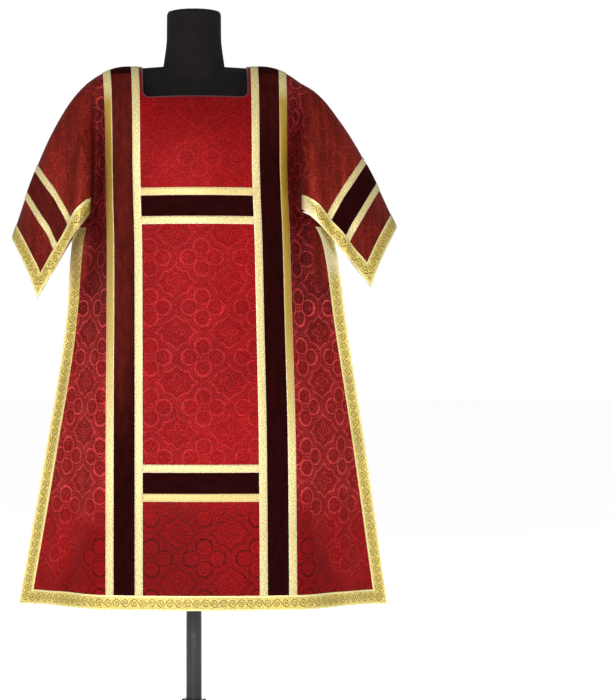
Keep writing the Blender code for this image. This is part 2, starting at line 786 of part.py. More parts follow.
def add_form():
    """The jersey-covered torso with its neck, from the hip to the top of the neck."""
    heights = column(TORSO_COLUMNS, TORSO, "height")
    neck_heights = [height for height in column(NECK_COLUMNS, NECK, "height")
                    if height > heights[-1]]
    angles = [2 * math.pi * k / FORM_SIDES for k in range(FORM_SIDES)]
    rings = []
    for height in [*heights, heights[-1] + JOIN_STEP, *neck_heights[1:]]:
        ring = []
        for angle in angles:
            radius = form_radius(height, angle)
            ring.append((radius * math.cos(angle), radius * math.sin(angle), height))
        rings.append(ring)
    ring_solid("form_torso", rings, "jersey")


def turned_rings(profile):
    rings = []
    for radius, height in profile:
        rings.append([(radius * math.cos(2 * math.pi * k / STAND_SIDES),
                       radius * math.sin(2 * math.pi * k / STAND_SIDES), height)
                      for k in range(STAND_SIDES)])
    return rings


def add_stand():
    """Round base with a collar, and the pole from the collar to the form."""
    ring_solid("form_base", turned_rings(BASE_PROFILE), "stand")
    foot = BASE_PROFILE[-1][1] + GAP
    head = TORSO[0][0] - GAP
    ring_solid("form_pole", turned_rings(((POLE_RADIUS, foot), (POLE_RADIUS, head))), "stand")


clear_scene()
for side in ("front", "back"):
    panel = Panel(side)
    panel.cloth()
    panel.stripes()
    panel.bands()
    panel.galloon()
for hand in HANDS:
    Sleeve(hand).build()
add_neck_piping()
add_form()
add_stand()
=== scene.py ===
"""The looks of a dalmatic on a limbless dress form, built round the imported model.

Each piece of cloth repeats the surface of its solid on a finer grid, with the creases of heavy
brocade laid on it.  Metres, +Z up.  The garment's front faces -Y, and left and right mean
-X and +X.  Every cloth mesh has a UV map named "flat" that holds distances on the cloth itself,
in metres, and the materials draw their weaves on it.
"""

import math
from functools import partial, reduce

import bpy
import numpy as np
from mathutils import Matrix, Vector


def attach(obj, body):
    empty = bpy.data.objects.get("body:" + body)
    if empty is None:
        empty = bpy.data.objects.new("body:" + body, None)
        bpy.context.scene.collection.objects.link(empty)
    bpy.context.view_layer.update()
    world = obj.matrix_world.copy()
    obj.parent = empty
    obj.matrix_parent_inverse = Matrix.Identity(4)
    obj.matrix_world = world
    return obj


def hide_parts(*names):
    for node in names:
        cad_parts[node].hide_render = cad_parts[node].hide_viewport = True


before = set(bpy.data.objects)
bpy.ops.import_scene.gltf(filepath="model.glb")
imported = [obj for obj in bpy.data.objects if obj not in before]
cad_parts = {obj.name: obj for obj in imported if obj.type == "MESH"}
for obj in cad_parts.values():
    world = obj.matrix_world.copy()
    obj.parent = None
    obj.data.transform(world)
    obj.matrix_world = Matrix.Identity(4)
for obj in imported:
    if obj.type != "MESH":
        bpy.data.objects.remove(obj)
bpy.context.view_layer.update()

# ---------------------------------------------------------------- sizes shared with the solids

CLOTH = 0.0016
TRIM = 0.0012
GAP = 0.0003
ARMHOLE_GAP = 0.0004
MEASURE_STEPS = 61

CENTRE_HALF = 0.126
NARROW_BRAID = 0.0175
VELVET_STRIPE = 0.046
STRIPES_HALF = CENTRE_HALF + 2 * NARROW_BRAID + VELVET_STRIPE
GALLOON = 0.032
BAND_VELVET = 0.045
BAND_HEIGHT = BAND_VELVET + 2 * NARROW_BRAID
BAND_TOPS = {
    "front": {"chest": 1.1965, "knee": 0.5971},
    "back": {"chest": 1.2205, "knee": 0.6097},
}

HEM = {"front": 0.284, "back": 0.300}
HEM_DIP = {"front": 0.007, "back": 0.018}
UNDERARM = 1.158
GALLOON_TOP = {"front": 1.1165, "back": 1.1405}

SECTION_COLUMNS = ("height", "shift", "centre_y", "stripe_y", "left_out", "right_out", "edge_y")
SECTIONS = {
    "front": (
        (0.270, 0.0168, -0.195, -0.180, 0.4094, 0.4158, -0.020),
        (0.616, 0.0155, -0.185, -0.162, 0.3465, 0.3680, -0.020),
        (0.906, 0.0125, -0.170, -0.130, 0.2975, 0.3265, -0.025),
        (1.070, 0.0103, -0.158, -0.112, 0.2830, 0.3050, -0.030),
        (1.120, 0.0090, -0.155, -0.108, 0.2720, 0.2850, -0.042),
        (1.158, 0.0075, -0.153, -0.105, 0.2380, 0.2260, -0.066),
        (1.250, 0.0050, -0.150, -0.100, 0.2270, 0.2170, -0.075),
    ),
    "back": (
        (0.270, -0.006, 0.165, 0.150, 0.379, 0.431, 0.020),
        (0.620, -0.006, 0.150, 0.135, 0.316, 0.381, 0.020),
        (0.906, -0.005, 0.135, 0.118, 0.271, 0.337, 0.022),
        (1.070, -0.004, 0.125, 0.108, 0.262, 0.300, 0.030),
        (1.120, -0.003, 0.122, 0.106, 0.255, 0.280, 0.042),
        (1.158, -0.002, 0.120, 0.104, 0.236, 0.234, 0.060),
        (1.250, 0.000, 0.118, 0.100, 0.225, 0.220, 0.068),
    ),
}
EDGE_SLOPE = 0.2

SHOULDER_BASE = 1.250
RIDGE_Y = 0.010
RIDGE_TOP = 1.478
SHOULDER_FALL_FROM = 0.150
SHOULDER_FALL = 4.5
TOP_STRIPE = 0.206
TOP_EDGE = 0.2385
SEAM_TURN = math.radians(72)
LAST_TURN = {"front": SEAM_TURN, "back": math.pi - SEAM_TURN}
SEAM_MARGIN = 0.0006

NECK_HALF = 0.121
NECK_CORNER = 0.020
NECK_UP = {"front": 1.60, "back": 1.65}
NECK_CORNER_UP = {"front": 0.080, "back": 0.065}
PIPING_RADIUS = 0.0016

SLEEVE_COLUMNS = (
    "along", "ridge_out", "ridge_y", "ridge_z",
    "front_out", "front_y", "front_z", "back_out", "back_y", "back_z",
)
SLEEVES = {
    "left": (
        (0.12, 0.262, 0.008, 1.419, 0.236, -0.118, 1.135, 0.246, 0.096, 1.150),
        (0.40, 0.318, 0.005, 1.330, 0.272, -0.130, 1.075, 0.276, 0.112, 1.096),
        (0.70, 0.363, 0.005, 1.225, 0.303, -0.138, 1.018, 0.311, 0.122, 1.036),
        (1.00, 0.408, 0.010, 1.095, 0.340, -0.142, 0.956, 0.349, 0.128, 0.970),
    ),
    "right": (
        (0.12, 0.268, 0.008, 1.425, 0.245, -0.118, 1.146, 0.254, 0.096, 1.158),
        (0.40, 0.335, 0.005, 1.345, 0.298, -0.130, 1.090, 0.302, 0.112, 1.110),
        (0.70, 0.395, 0.005, 1.243, 0.342, -0.138, 1.035, 0.350, 0.122, 1.053),
        (1.00, 0.4546, 0.010, 1.119, 0.385, -0.142, 0.980, 0.395, 0.128, 0.995),
    ),
}
RIDGE_HANDLE = 0.35
EDGE_HANDLE = (0.3, 0.1, 0.5)
BACK_DRAWN_UP = 0.045
SLEEVE_BRAID = 0.0165
SLEEVE_BAND = 0.092
SLEEVE_VELVET = 0.0485

TORSO_COLUMNS = ("height", "half_width", "front", "back")
TORSO = (
    (0.700, 0.140, 0.106, 0.106),
    (0.712, 0.152, 0.116, 0.116),
    (0.800, 0.170, 0.126, 0.126),
    (0.900, 0.166, 0.120, 0.116),
    (1.020, 0.144, 0.104, 0.096),
    (1.150, 0.158, 0.116, 0.100),
    (1.250, 0.172, 0.124, 0.104),
    (1.330, 0.182, 0.114, 0.098),
    (1.390, 0.188, 0.092, 0.086),
    (1.425, 0.187, 0.068, 0.067),
    (1.448, 0.180, 0.046, 0.050),
    (1.462, 0.168, 0.028, 0.040),
    (1.470, 0.150, 0.014, 0.027),
    (1.4745, 0.118, 0.003, 0.015),
)
NECK_COLUMNS = ("height", "half_width", "half_depth")
NECK = (
    (1.400, 0.076, 0.055),
    (1.440, 0.073, 0.055),
    (1.475, 0.069, 0.056),
    (1.510, 0.064, 0.056),
    (1.540, 0.061, 0.056),
    (1.593, 0.0605, 0.056),
    (1.599, 0.058, 0.0535),
    (1.6006, 0.053, 0.0485),
)
TORSO_SQUARENESS = 2.4
BLEND_POWER = 8

POLE_RADIUS = 0.0175
BASE_PROFILE = (
    (0.190, 0.0), (0.190, 0.011), (0.187, 0.016), (0.180, 0.0185),
    (0.060, 0.024), (0.032, 0.028), (0.028, 0.060), (0.025, 0.064),
)

FACING = {"front": 1, "back": -1}
HANDS = {"left": -1, "right": 1}

# ---------------------------------------------------------------- fineness of the meshes

CELL = 0.0068
TRIM_BEVEL = 0.0008
TRIM_EDGE = 0.5
BEVEL_CLEAR = 1.5
MITRE_STEPS = 5
SIDE_STEPS = 26
SLEEVE_STEPS = 24
UPPER_STEP = 0.07
CORNER_STEPS = 12
FRONT_STEPS = 30
FORM_SIDES = 96
FORM_STEP = 0.012
JOIN_STEP = 0.003
POLE_RINGS = 12
PIPING_SIDES = 10
SHARP_ANGLE = math.radians(50)
NORMAL_STEP = 2e-3
ROUNDING = 1e-6

# ---------------------------------------------------------------- smaller sizes of the cloth

# The least share of a side part inside the galloon, and the length of cloth over the shoulder
LEAST_SIDE = 0.4
SHOULDER_LENGTH = 0.30
# How far the piping's straight runs keep above the neckline's corners, as a value up the panel
CORNER_CLEAR = 0.01
# The share of a sleeve above its band that its galloon leaves bare.  Then, as values round the
# sleeve, how far its band's ends are tucked in and how near the ridge its creases fade.
GALLOON_STOPS = 0.25
END_TUCK = 0.003
CALM_RIDGE = 0.3
# The line from which the looks measure outwards, and how far a sleeve's pattern is moved up
MIDDLE_ACROSS = 0.013
SLEEVE_PATTERN_RISE = 0.96

# A panel's lines across, as shares of the stripes' half width, and a sleeve's from its cuff
LINES = [line / STRIPES_HALF for line in (
    0.0,
    NECK_HALF - NECK_CORNER,
    NECK_HALF,
    CENTRE_HALF,
    CENTRE_HALF + NARROW_BRAID,
    CENTRE_HALF + NARROW_BRAID + VELVET_STRIPE,
    STRIPES_HALF,
)]
SLEEVE_LINES = (
    SLEEVE_BAND,
    SLEEVE_BAND + SLEEVE_BRAID,
    SLEEVE_BAND + SLEEVE_BRAID + SLEEVE_VELVET,
    SLEEVE_BAND + 2 * SLEEVE_BRAID + SLEEVE_VELVET,
)

# ---------------------------------------------------------------- creases

# Each crease runs up the cloth through these rows, in millimetres.  depth is positive for a ridge
# and negative for a trough, and fades to nothing at both ends.
CREASE_COLUMNS = ("height", "x", "width", "depth")
CREASES = {
    "front": (
        # the deep valleys beside the sleeves, which open out below the underarms
        ((720, -236, 40, 0), (900, -230, 36, -18), (1060, -218, 32, -44), (1240, -212, 29, -52),
         (1360, -208, 20, -28), (1440, -208, 14, 0)),
        ((720, 256, 40, 0), (900, 244, 34, -16), (1060, 230, 24, -24), (1220, 226, 23, -42),
         (1360, 224, 18, -22), (1440, 224, 14, 0)),
        # long soft folds down the side parts
        ((290, -322, 20, 4), (400, -306, 24, 11), (560, -290, 24, 10), (720, -272, 20, 0)),
        ((290, -276, 24, -4), (420, -268, 22, -9), (600, -256, 22, -6), (780, -246, 20, 0)),
        ((290, 352, 26, 3), (420, 336, 26, 8), (600, 318, 24, 8), (860, 290, 22, 0)),
        ((290, 298, 26, -4), (460, 288, 24, -8), (660, 276, 22, -5), (840, 262, 20, 0)),
    ),
    "back": (
        ((1100, 160, 16, 0), (1220, 176, 18, -6), (1340, 196, 18, -12), (1440, 206, 14, 0)),
        ((1140, 196, 12, 0), (1260, 206, 14, 6), (1380, 214, 12, 0)),
        ((1120, -172, 16, 0), (1260, -184, 16, -6), (1400, -202, 14, 0)),
        ((860, 246, 30, 0), (1060, 240, 26, -14), (1240, 230, 20, -12), (1400, 226, 14, 0)),
        ((860, -236, 30, 0), (1060, -234, 26, -14), (1240, -230, 20, -12), (1400, -226, 14, 0)),
        ((310, -290, 26, 4), (480, -274, 24, 9), (780, -246, 20, 0)),
        ((310, 330, 28, -4), (500, 310, 24, -8), (840, 276, 20, 0)),
        ((310, 270, 26, 3), (520, 262, 24, 6), (800, 250, 20, 0)),
    ),
    "left_front": (
        ((980, -345, 14, 0), (1100, -320, 16, -10), (1260, -296, 15, -9), (1380, -272, 12, 0)),
        ((1000, -296, 14, -6), (1140, -282, 16, -15), (1280, -268, 14, -12), (1400, -252, 10, 0)),
        ((1040, -256, 17, 13), (1160, -250, 15, 19), (1300, -243, 13, 14), (1420, -238, 10, 0)),
    ),
    "left_back": (
        ((1020, -312, 16, 0), (1160, -292, 16, -10), (1340, -264, 13, 0)),
        ((1040, -262, 16, 10), (1180, -254, 15, 14), (1400, -242, 10, 0)),
    ),
    "right_front": (
        ((980, 366, 14, 0), (1100, 342, 16, -9), (1260, 312, 15, -8), (1380, 284, 12, 0)),
        ((1000, 318, 14, -6), (1140, 302, 16, -15), (1280, 284, 14, -12), (1390, 268, 10, 0)),
        ((1060, 272, 17, 2), (1200, 264, 15, 16), (1320, 256, 13, 12), (1420, 250, 10, 0)),
    ),
    "right_back": (
        ((1040, 336, 16, 0), (1180, 314, 16, -12), (1360, 282, 13, 0)),
        ((1040, 276, 16, 10), (1180, 268, 15, 15), (1400, 254, 10, 0)),
    ),
}


# ---------------------------------------------------------------- curves

def floats(values):
    return np.atleast_1d(np.asarray(values, dtype=float))


def hermite(part, start, end, start_slope, end_slope):
    """Cubic between two values with the given slopes, for part from 0 to 1."""
    return ((2 * part**3 - 3 * part**2 + 1) * start + (part**3 - 2 * part**2 + part) * start_slope
            + (3 * part**2 - 2 * part**3) * end + (part**3 - part**2) * end_slope)


def smooth(knots, values, at):
    """Run smoothly through values at knots, with no overshoot between them.  values has one
    entry per knot, or one row of entries, a column for each item of at."""
    knots = floats(knots)
    values = floats(values)
    at = np.clip(floats(at), knots[0], knots[-1])
    if values.ndim == 1:
        values = np.repeat(values[:, None], at.size, axis=1)
    steps = np.diff(knots)[:, None]
    rises = np.diff(values, axis=0) / steps
    product = rises[:-1] * rises[1:]
    total = rises[:-1] + rises[1:]
    slopes = np.empty_like(values)
    slopes[0] = rises[0]
    slopes[-1] = rises[-1]
    slopes[1:-1] = np.where(product > 0, 2 * product / np.where(total == 0, 1, total), 0)
    span = np.clip(np.searchsorted(knots, at, side="right") - 1, 0, len(knots) - 2)
    item = np.arange(at.size)
    step = steps[span, 0]
    return hermite((at - knots[span]) / step, values[span, item], values[span + 1, item],
                   slopes[span, item] * step, slopes[span + 1, item] * step)


def read(columns, rows, at):
    """A table's further columns by name, run smoothly over its first column."""
    table = np.array(rows)
    return {name: smooth(table[:, 0], table[:, k], at)
            for k, name in enumerate(columns) if k > 0}


def lengths_along(points):
    """Distance from the first point to each point of a path."""
    steps = np.linalg.norm(np.diff(points, axis=0), axis=1)
    return np.concatenate(([0.0], np.cumsum(steps)))


def fine(keys, step):
    """The keys in order, with even values between them no more than a step apart."""
    values = [keys[0]]
    for start, end in zip(keys, keys[1:]):
        count = max(1, math.ceil((end - start) / step - ROUNDING))
        values.extend(start + (end - start) * k / count for k in range(1, count + 1))
    return values


# ---------------------------------------------------------------- surfaces

def near_and_far(across):
    """How far across the stripes' part and the side part a value lies, each from 0 to 1."""
    return np.clip(np.abs(across), 0, 1), np.clip(np.abs(across) - 1, 0, 1)


def hang_section(side, across, height):
    """X and Y of a hanging panel.  across is 0 at the centre line, 1 at the stripes' outer edge
    and 2 at the panel's edge, with a minus sign on the left."""
    at = read(SECTION_COLUMNS, SECTIONS[side], height)
    near, far = near_and_far(across)
    bow = at["stripe_y"] - at["centre_y"]
    # the stripes' part keeps its width along the bow, so it reaches less far sideways
    stripe_x = STRIPES_HALF / (1 + 2 / 3 * (bow / STRIPES_HALF) ** 2)
    run = np.where(across < 0, at["left_out"], at["right_out"]) - stripe_x
    far_y = hermite(far, at["stripe_y"], at["edge_y"],
                    2 * bow / stripe_x * run, FACING[side] * EDGE_SLOPE * run)
    x = at["shift"] + np.sign(across) * (stripe_x * near + run * far)
    return x, np.where(far > 0, far_y, at["centre_y"] + bow * near**2)


def ridge_height(out):
    """Height of the shoulder ridge at a distance from the middle plane."""
    return RIDGE_TOP - SHOULDER_FALL * np.clip(np.abs(out) - SHOULDER_FALL_FROM, 0, None) ** 2


def shoulder_turn(part, depth, front_depth, rise, last_turn):
    """Angle reached at a part of the way over the shoulder, by length of cloth."""
    turns = np.linspace(0, last_turn, MEASURE_STEPS)
    depths = np.where(turns <= math.pi / 2, depth[:, None], front_depth[:, None])
    speed = np.hypot(depths * np.sin(turns), rise[:, None] * np.cos(turns))
    pieces = (speed[:, 1:] + speed[:, :-1]) / 2 * (turns[1] - turns[0])
    lengths = np.concatenate((np.zeros((len(depth), 1)), np.cumsum(pieces, axis=1)), axis=1)
    wanted = part * lengths[:, -1]
    return np.array([np.interp(want, row, turns) for want, row in zip(wanted, lengths)])


def panel_base(side, across, up):
    """Places on a panel's outer face without its creases.  up is 0 at the hem, 1 where the
    shoulder curve starts and 2 at the shoulder seam."""
    across = floats(across)
    up = floats(up)
    hem = HEM[side] - HEM_DIP[side] * near_and_far(across)[1] ** 2
    height = hem + np.clip(up, 0, 1) * (SHOULDER_BASE - hem)
    x, y = hang_section(side, across, height)
    points = np.column_stack((x, y, height))
    over = up > 1
    if over.any():
        points[over] = shoulder_base(side, across[over], up[over], x[over], y[over])
    return points


def shoulder_base(side, across, up, x, y):
    """Places over the shoulder, from the X and Y at which the shoulder curve starts."""
    near, far = near_and_far(across)
    top_x = np.sign(across) * (TOP_STRIPE * near + (TOP_EDGE - TOP_STRIPE) * far)
    rise = ridge_height(top_x) - SHOULDER_BASE
    front_x, front_y = hang_section("front", across, np.full_like(across, SHOULDER_BASE))
    front_depth = np.abs(front_y - RIDGE_Y)
    turn = shoulder_turn(np.clip(up - 1, 0, 1), np.abs(y - RIDGE_Y), front_depth, rise,
                         LAST_TURN[side])
    past = turn > math.pi / 2
    start_x = np.where(past, front_x, x)
    depth = np.where(past, front_depth, y - RIDGE_Y)
    return np.column_stack((start_x + (top_x - start_x) * (1 - np.abs(np.cos(turn))),
                            RIDGE_Y + depth * np.cos(turn),
                            SHOULDER_BASE + rise * np.sin(turn)))


def height_to_up(side, height):
    return (height - HEM[side]) / (SHOULDER_BASE - HEM[side])


def sleeve_section(row, hand, around):
    """Places on one section of a sleeve.  The cloth leaves the ridge level and hangs almost
    straight at its free edges."""
    named = dict(zip(SLEEVE_COLUMNS, row))
    ridge, front, back = (
        np.array([named[at + "_out"] * HANDS[hand], named[at + "_y"], named[at + "_z"]])
        for at in ("ridge", "front", "back"))
    edge = np.where(around[:, None] <= 0, front, back)
    part = np.abs(around)[:, None]
    span = edge - ridge
    near_ridge = ridge + span * np.array((0, RIDGE_HANDLE, 0))
    near_edge = edge - span * np.array(EDGE_HANDLE)
    return ((1 - part) ** 3 * ridge + 3 * (1 - part) ** 2 * part * near_ridge
            + 3 * (1 - part) * part**2 * near_edge + part**3 * edge)


def sleeve_base(hand, around, rise):
    """Places on a sleeve's outer face without its creases.  around is -1 at the front edge, 0 at
    the ridge and 1 at the back edge.  rise is 0 at the cuff and 1 at the armhole."""
    along = 1 - floats(rise)
    around = np.clip(floats(around), -1, 1)
    around = np.where(around > 0, around * (1 - BACK_DRAWN_UP * along), around)
    value, path = ARMHOLES[hand]
    armhole = np.column_stack([np.interp(around, value, path[:, k]) for k in range(3)])
    stations = [armhole, *(sleeve_section(row, hand, around) for row in SLEEVES[hand])]
    knots = [0.0, *(row[0] for row in SLEEVES[hand])]
    return np.column_stack([smooth(knots, [station[:, k] for station in stations], along)
                            for k in range(3)])


def crease_lift(name, points):
    """How far the named creases push each place out."""
    lift = np.zeros(len(points))
    for rows in CREASES[name]:
        rows = np.array(rows) / 1000
        at = read(CREASE_COLUMNS, rows, points[:, 2])
        low = np.clip((points[:, 2] - rows[0, 0]) / at["width"], 0, 1)
        start = np.where(at["depth"] == rows[0, 3], low, 1)
        lift += at["depth"] * start * np.exp(-((points[:, 0] - at["x"]) / at["width"]) ** 2)
    return lift


class Surface:
    """The outer face of a piece of cloth, as a function of two values.  The first runs from
    -reach to reach, and the second from 0 to reach.  Creases move the cloth along push, or along
    its normals where there is none."""

    def __init__(self, base, creases, facing, reach, push=None):
        self.base = base
        self.creases = creases
        self.facing = facing
        self.reach = reach
        self.push = push

    def normals_of(self, place, first, second):
        along_first = place(first + NORMAL_STEP, second) - place(first - NORMAL_STEP, second)
        along_second = place(first, second + NORMAL_STEP) - place(first, second - NORMAL_STEP)
        normals = np.cross(along_first, along_second)
        return self.facing * normals / np.linalg.norm(normals, axis=1)[:, None]

    def place(self, first, second):
        first = np.clip(first, -self.reach, self.reach)
        second = np.clip(second, 0, self.reach)
        points = self.base(first, second)
        lift = self.creases(points, first)[:, None]
        out = self.normals_of(self.base, first, second) if self.push is None else self.push
        return points + out * lift

    def normals(self, first, second):
        return self.normals_of(self.place, first, second)


def panel_surface(side):
    """A panel, whose creases move it straight forward or back, so that the cut keeps its
    outline."""
    def creases(points, across):
        return crease_lift(side, points)

    return Surface(partial(panel_base, side), creases, FACING[side], 2,
                   np.array((0.0, -FACING[side], 0.0)))


def sleeve_surface(hand):
    def creases(points, around):
        lift = np.where(around < 0, crease_lift(hand + "_front", points),
                        crease_lift(hand + "_back", points))
        return lift * np.clip(np.abs(around) / CALM_RIDGE, 0, 1)

    return Surface(partial(sleeve_base, hand), creases, HANDS[hand], 1)


def armhole_path(hand):
    """The armhole's edge from the front underarm over the ridge to the back underarm, with a
    value from -1 to 1 for each point that is 0 at the ridge."""
    paths = []
    for side in FACING:
        ups = np.concatenate((np.linspace(height_to_up(side, UNDERARM), 1, MEASURE_STEPS)[:-1],
                              np.linspace(1, 2, MEASURE_STEPS)))
        paths.append(panel_surface(side).place(np.full_like(ups, 2.0 * HANDS[hand]), ups))
    path = np.vstack((paths[0][:-1], paths[1][::-1]))
    lengths = lengths_along(path)
    top = lengths[int(np.argmax(path[:, 2]))]
    value = np.where(lengths <= top, lengths / top - 1, (lengths - top) / (lengths[-1] - top))
    path[:, 0] += ARMHOLE_GAP * HANDS[hand]
    return value, path


ARMHOLES = {hand: armhole_path(hand) for hand in HANDS}


# ---------------------------------------------------------------- meshes

def mesh_object(name, points, faces, finishes, flats, slots=None):
    """One smooth mesh.  flats has a pair of cloth distances for each corner of each face."""
    mesh = bpy.data.meshes.new(name)
    mesh.from_pydata(np.asarray(points, dtype=float).tolist(), [], faces)
    for finish in finishes:
        mesh.materials.append(FINISHES[finish])
    if slots is not None:
        mesh.polygons.foreach_set("material_index", slots)
    layer = mesh.uv_layers.new(name="flat")
    layer.data.foreach_set("uv", np.asarray(flats, dtype=np.float32).ravel())
    mesh.update()
    mesh.shade_smooth()
    mesh.set_sharp_from_angle(angle=SHARP_ANGLE)
    piece = bpy.data.objects.new(name, mesh)
    bpy.context.scene.collection.objects.link(piece)
    return piece


def shell(name, surface, values, polygons, flats, lift, thickness, finishes):
    """A thin closed wall.  polygons are (vertex numbers, map number) seen from the outer side,
    and each map in flats has a pair of cloth distances for every vertex."""
    if surface.facing < 0:
        polygons = [(ids[::-1], part) for ids, part in polygons]
    used = sorted({index for ids, _ in polygons for index in ids})
    renumber = {old: new for new, old in enumerate(used)}
    polygons = [(tuple(renumber[index] for index in ids), part) for ids, part in polygons]
    values = np.asarray(values)[used].T
    flats = [np.asarray(flat)[used] for flat in flats]
    edges = {(ids[k - 1], ids[k]): part for ids, part in polygons for k in range(len(ids))}
    rim = sorted(edge for edge in edges if edge[::-1] not in edges)
    share = np.ones(len(used))
    if lift > 0:
        share[sorted({index for edge in rim for index in edge})] = TRIM_EDGE
    points = surface.place(*values)
    normals = surface.normals(*values)
    outer = points + normals * (lift + thickness * share)[:, None]
    inner = points + normals * lift
    count = len(used)
    turned = [(ids[::-1], part) for ids, part in polygons]
    sides = [((b, a, a, b), edges[a, b]) for a, b in rim]
    faces = [ids for ids, _ in polygons]
    faces += [tuple(count + index for index in ids) for ids, _ in turned]
    faces += [(b, a, count + a, count + b) for a, b in rim]
    corners = [flats[part][list(ids)] for ids, part in (*polygons, *turned, *sides)]
    slots = [0] * len(polygons) + [len(finishes) - 1] * len(turned) + [0] * len(rim)
    return mesh_object(name, np.vstack((outer, inner)), faces, finishes, np.vstack(corners),
                       slots)


def brocade_piece(name, surface, values, polygons, flat):
    return shell(name, surface, values, polygons, [flat], -CLOTH, CLOTH,
                 ("brocade", "brocade_reverse"))


def trim(name, surface, values, polygons, flats, finish):
    """A braid or velvet sewn on a panel or sleeve, with the node and slot that it takes."""
    piece = shell(name + "_cloth", surface, values, polygons, flats, GAP, TRIM, (finish,))
    return piece, name, finish


def cells(row_count, column_count, wanted=None):
    """Four-sided polygons of a grid, counted row by row from the bottom left."""
    corners = (i * column_count + j for i in range(row_count - 1) for j in range(column_count - 1)
               if wanted is None or wanted(i, j))
    return [((corner, corner + 1, corner + column_count + 1, corner + column_count), 0)
            for corner in corners]


def edged_cells(grid, last_row):
    """Cells of a braid up both side edges (maps 1 and 2) and along the bottom (map 0), with
    mitres where they meet."""
    last_column = grid.column_count - 1
    polygons = []
    for i in range(last_row):
        for j in range(last_column):
            from_side = min(j, last_column - 1 - j)
            if min(i, from_side) >= MITRE_STEPS:
                continue
            left = j < last_column / 2
            side_map = 1 if left else 2
            a = i * grid.column_count + j
            b, c, d = a + 1, a + grid.column_count + 1, a + grid.column_count
            if i != from_side:
                polygons.append(((a, b, c, d), 0 if i < from_side else side_map))
            elif left:
                polygons.extend((((a, b, c), 0), ((a, c, d), side_map)))
            else:
                polygons.extend((((a, b, d), 0), ((b, c, d), side_map)))
    return polygons


def running(points, axis):
    """Distance from the first row or column of a grid of points along the given axis."""
    steps = np.linalg.norm(np.diff(points, axis=axis), axis=2)
    first = np.zeros_like(points[:1, :, 0] if axis == 0 else points[:, :1, 0])
    return np.concatenate((first, np.cumsum(steps, axis=axis)), axis=axis)


class Grid:
    """Values, places and cloth distances of a piece, in rows from its free edge up."""

    def __init__(self, surface, rows):
        grid = np.array(rows)
        self.row_count, self.column_count = grid.shape[:2]
        self.rows = grid
        self.values = grid.reshape(-1, 2)
        self.plain = surface.base(*self.values.T).reshape(*grid.shape[:2], 3)
        points = surface.place(*self.values.T).reshape(*grid.shape[:2], 3)
        self.middle = self.column_count // 2
        self.from_left = running(points, 1)
        self.from_middle = self.from_left - self.from_left[:, self.middle:self.middle + 1]

    def cut(self):
        """Width, length and area of the cloth before it was hung, without its creases."""
        corner = self.plain[:-1, :-1]
        area = np.cross(self.plain[:-1, 1:] - corner, self.plain[1:, :-1] - corner)
        return (float(running(self.plain, 1)[:, -1].max()),
                float(running(self.plain, 0)[-1].max()),
                float(np.linalg.norm(area, axis=2).sum()))

    def cells(self, wanted=None):
        return cells(self.row_count, self.column_count, wanted)

    def map(self, first, second):
        return np.stack((first, second), axis=2).reshape(-1, 2)

    def edge_braid_maps(self, level):
        """Cloth distances of a braid, along it and inwards from its outer edge: first for the
        bottom, then for the left and the right side.  level is the distance up the cloth."""
        from_right = self.from_left[:, -1:] - self.from_left
        return [self.map(self.from_middle, level - level[:1]), self.map(level, self.from_left),
                self.map(level, from_right)]


def ends_drawn_in(lines, low, high, margin, bevel):
    """The grid lines from low to high, with both ends drawn in and a line just inside each."""
    clear = margin + BEVEL_CLEAR * bevel
    inside = [line for line in lines if low + clear < line < high - clear]
    return [low + margin, low + margin + bevel, *inside, high - margin - bevel, high - margin]


def braided(braid, velvet, ends, edges):
    """A strip of velvet between two narrow braids: name, finish and two edges of each."""
    names = (f"{braid}_{ends[0]}", velvet, f"{braid}_{ends[1]}")
    return zip(names, ("narrow_braid", "velvet", "narrow_braid"), edges, edges[1:])


# ---------------------------------------------------------------- the panels

def galloon_line(side, hand_sign, up):
    """How far across the side part the galloon's inner edge runs, as a value from 0 to 1."""
    far = np.linspace(0, 1, MEASURE_STEPS)
    path = panel_base(side, hand_sign * (1 + far), np.full_like(far, up))
    lengths = lengths_along(path)
    return max(LEAST_SIDE, float(np.interp(lengths[-1] - GALLOON, lengths, far)))


def band_lines(side, place):
    """Heights of a cross band's four edges, from the top down."""
    top = BAND_TOPS[side][place]
    return (top, top - NARROW_BRAID, top - NARROW_BRAID - BAND_VELVET, top - BAND_HEIGHT)


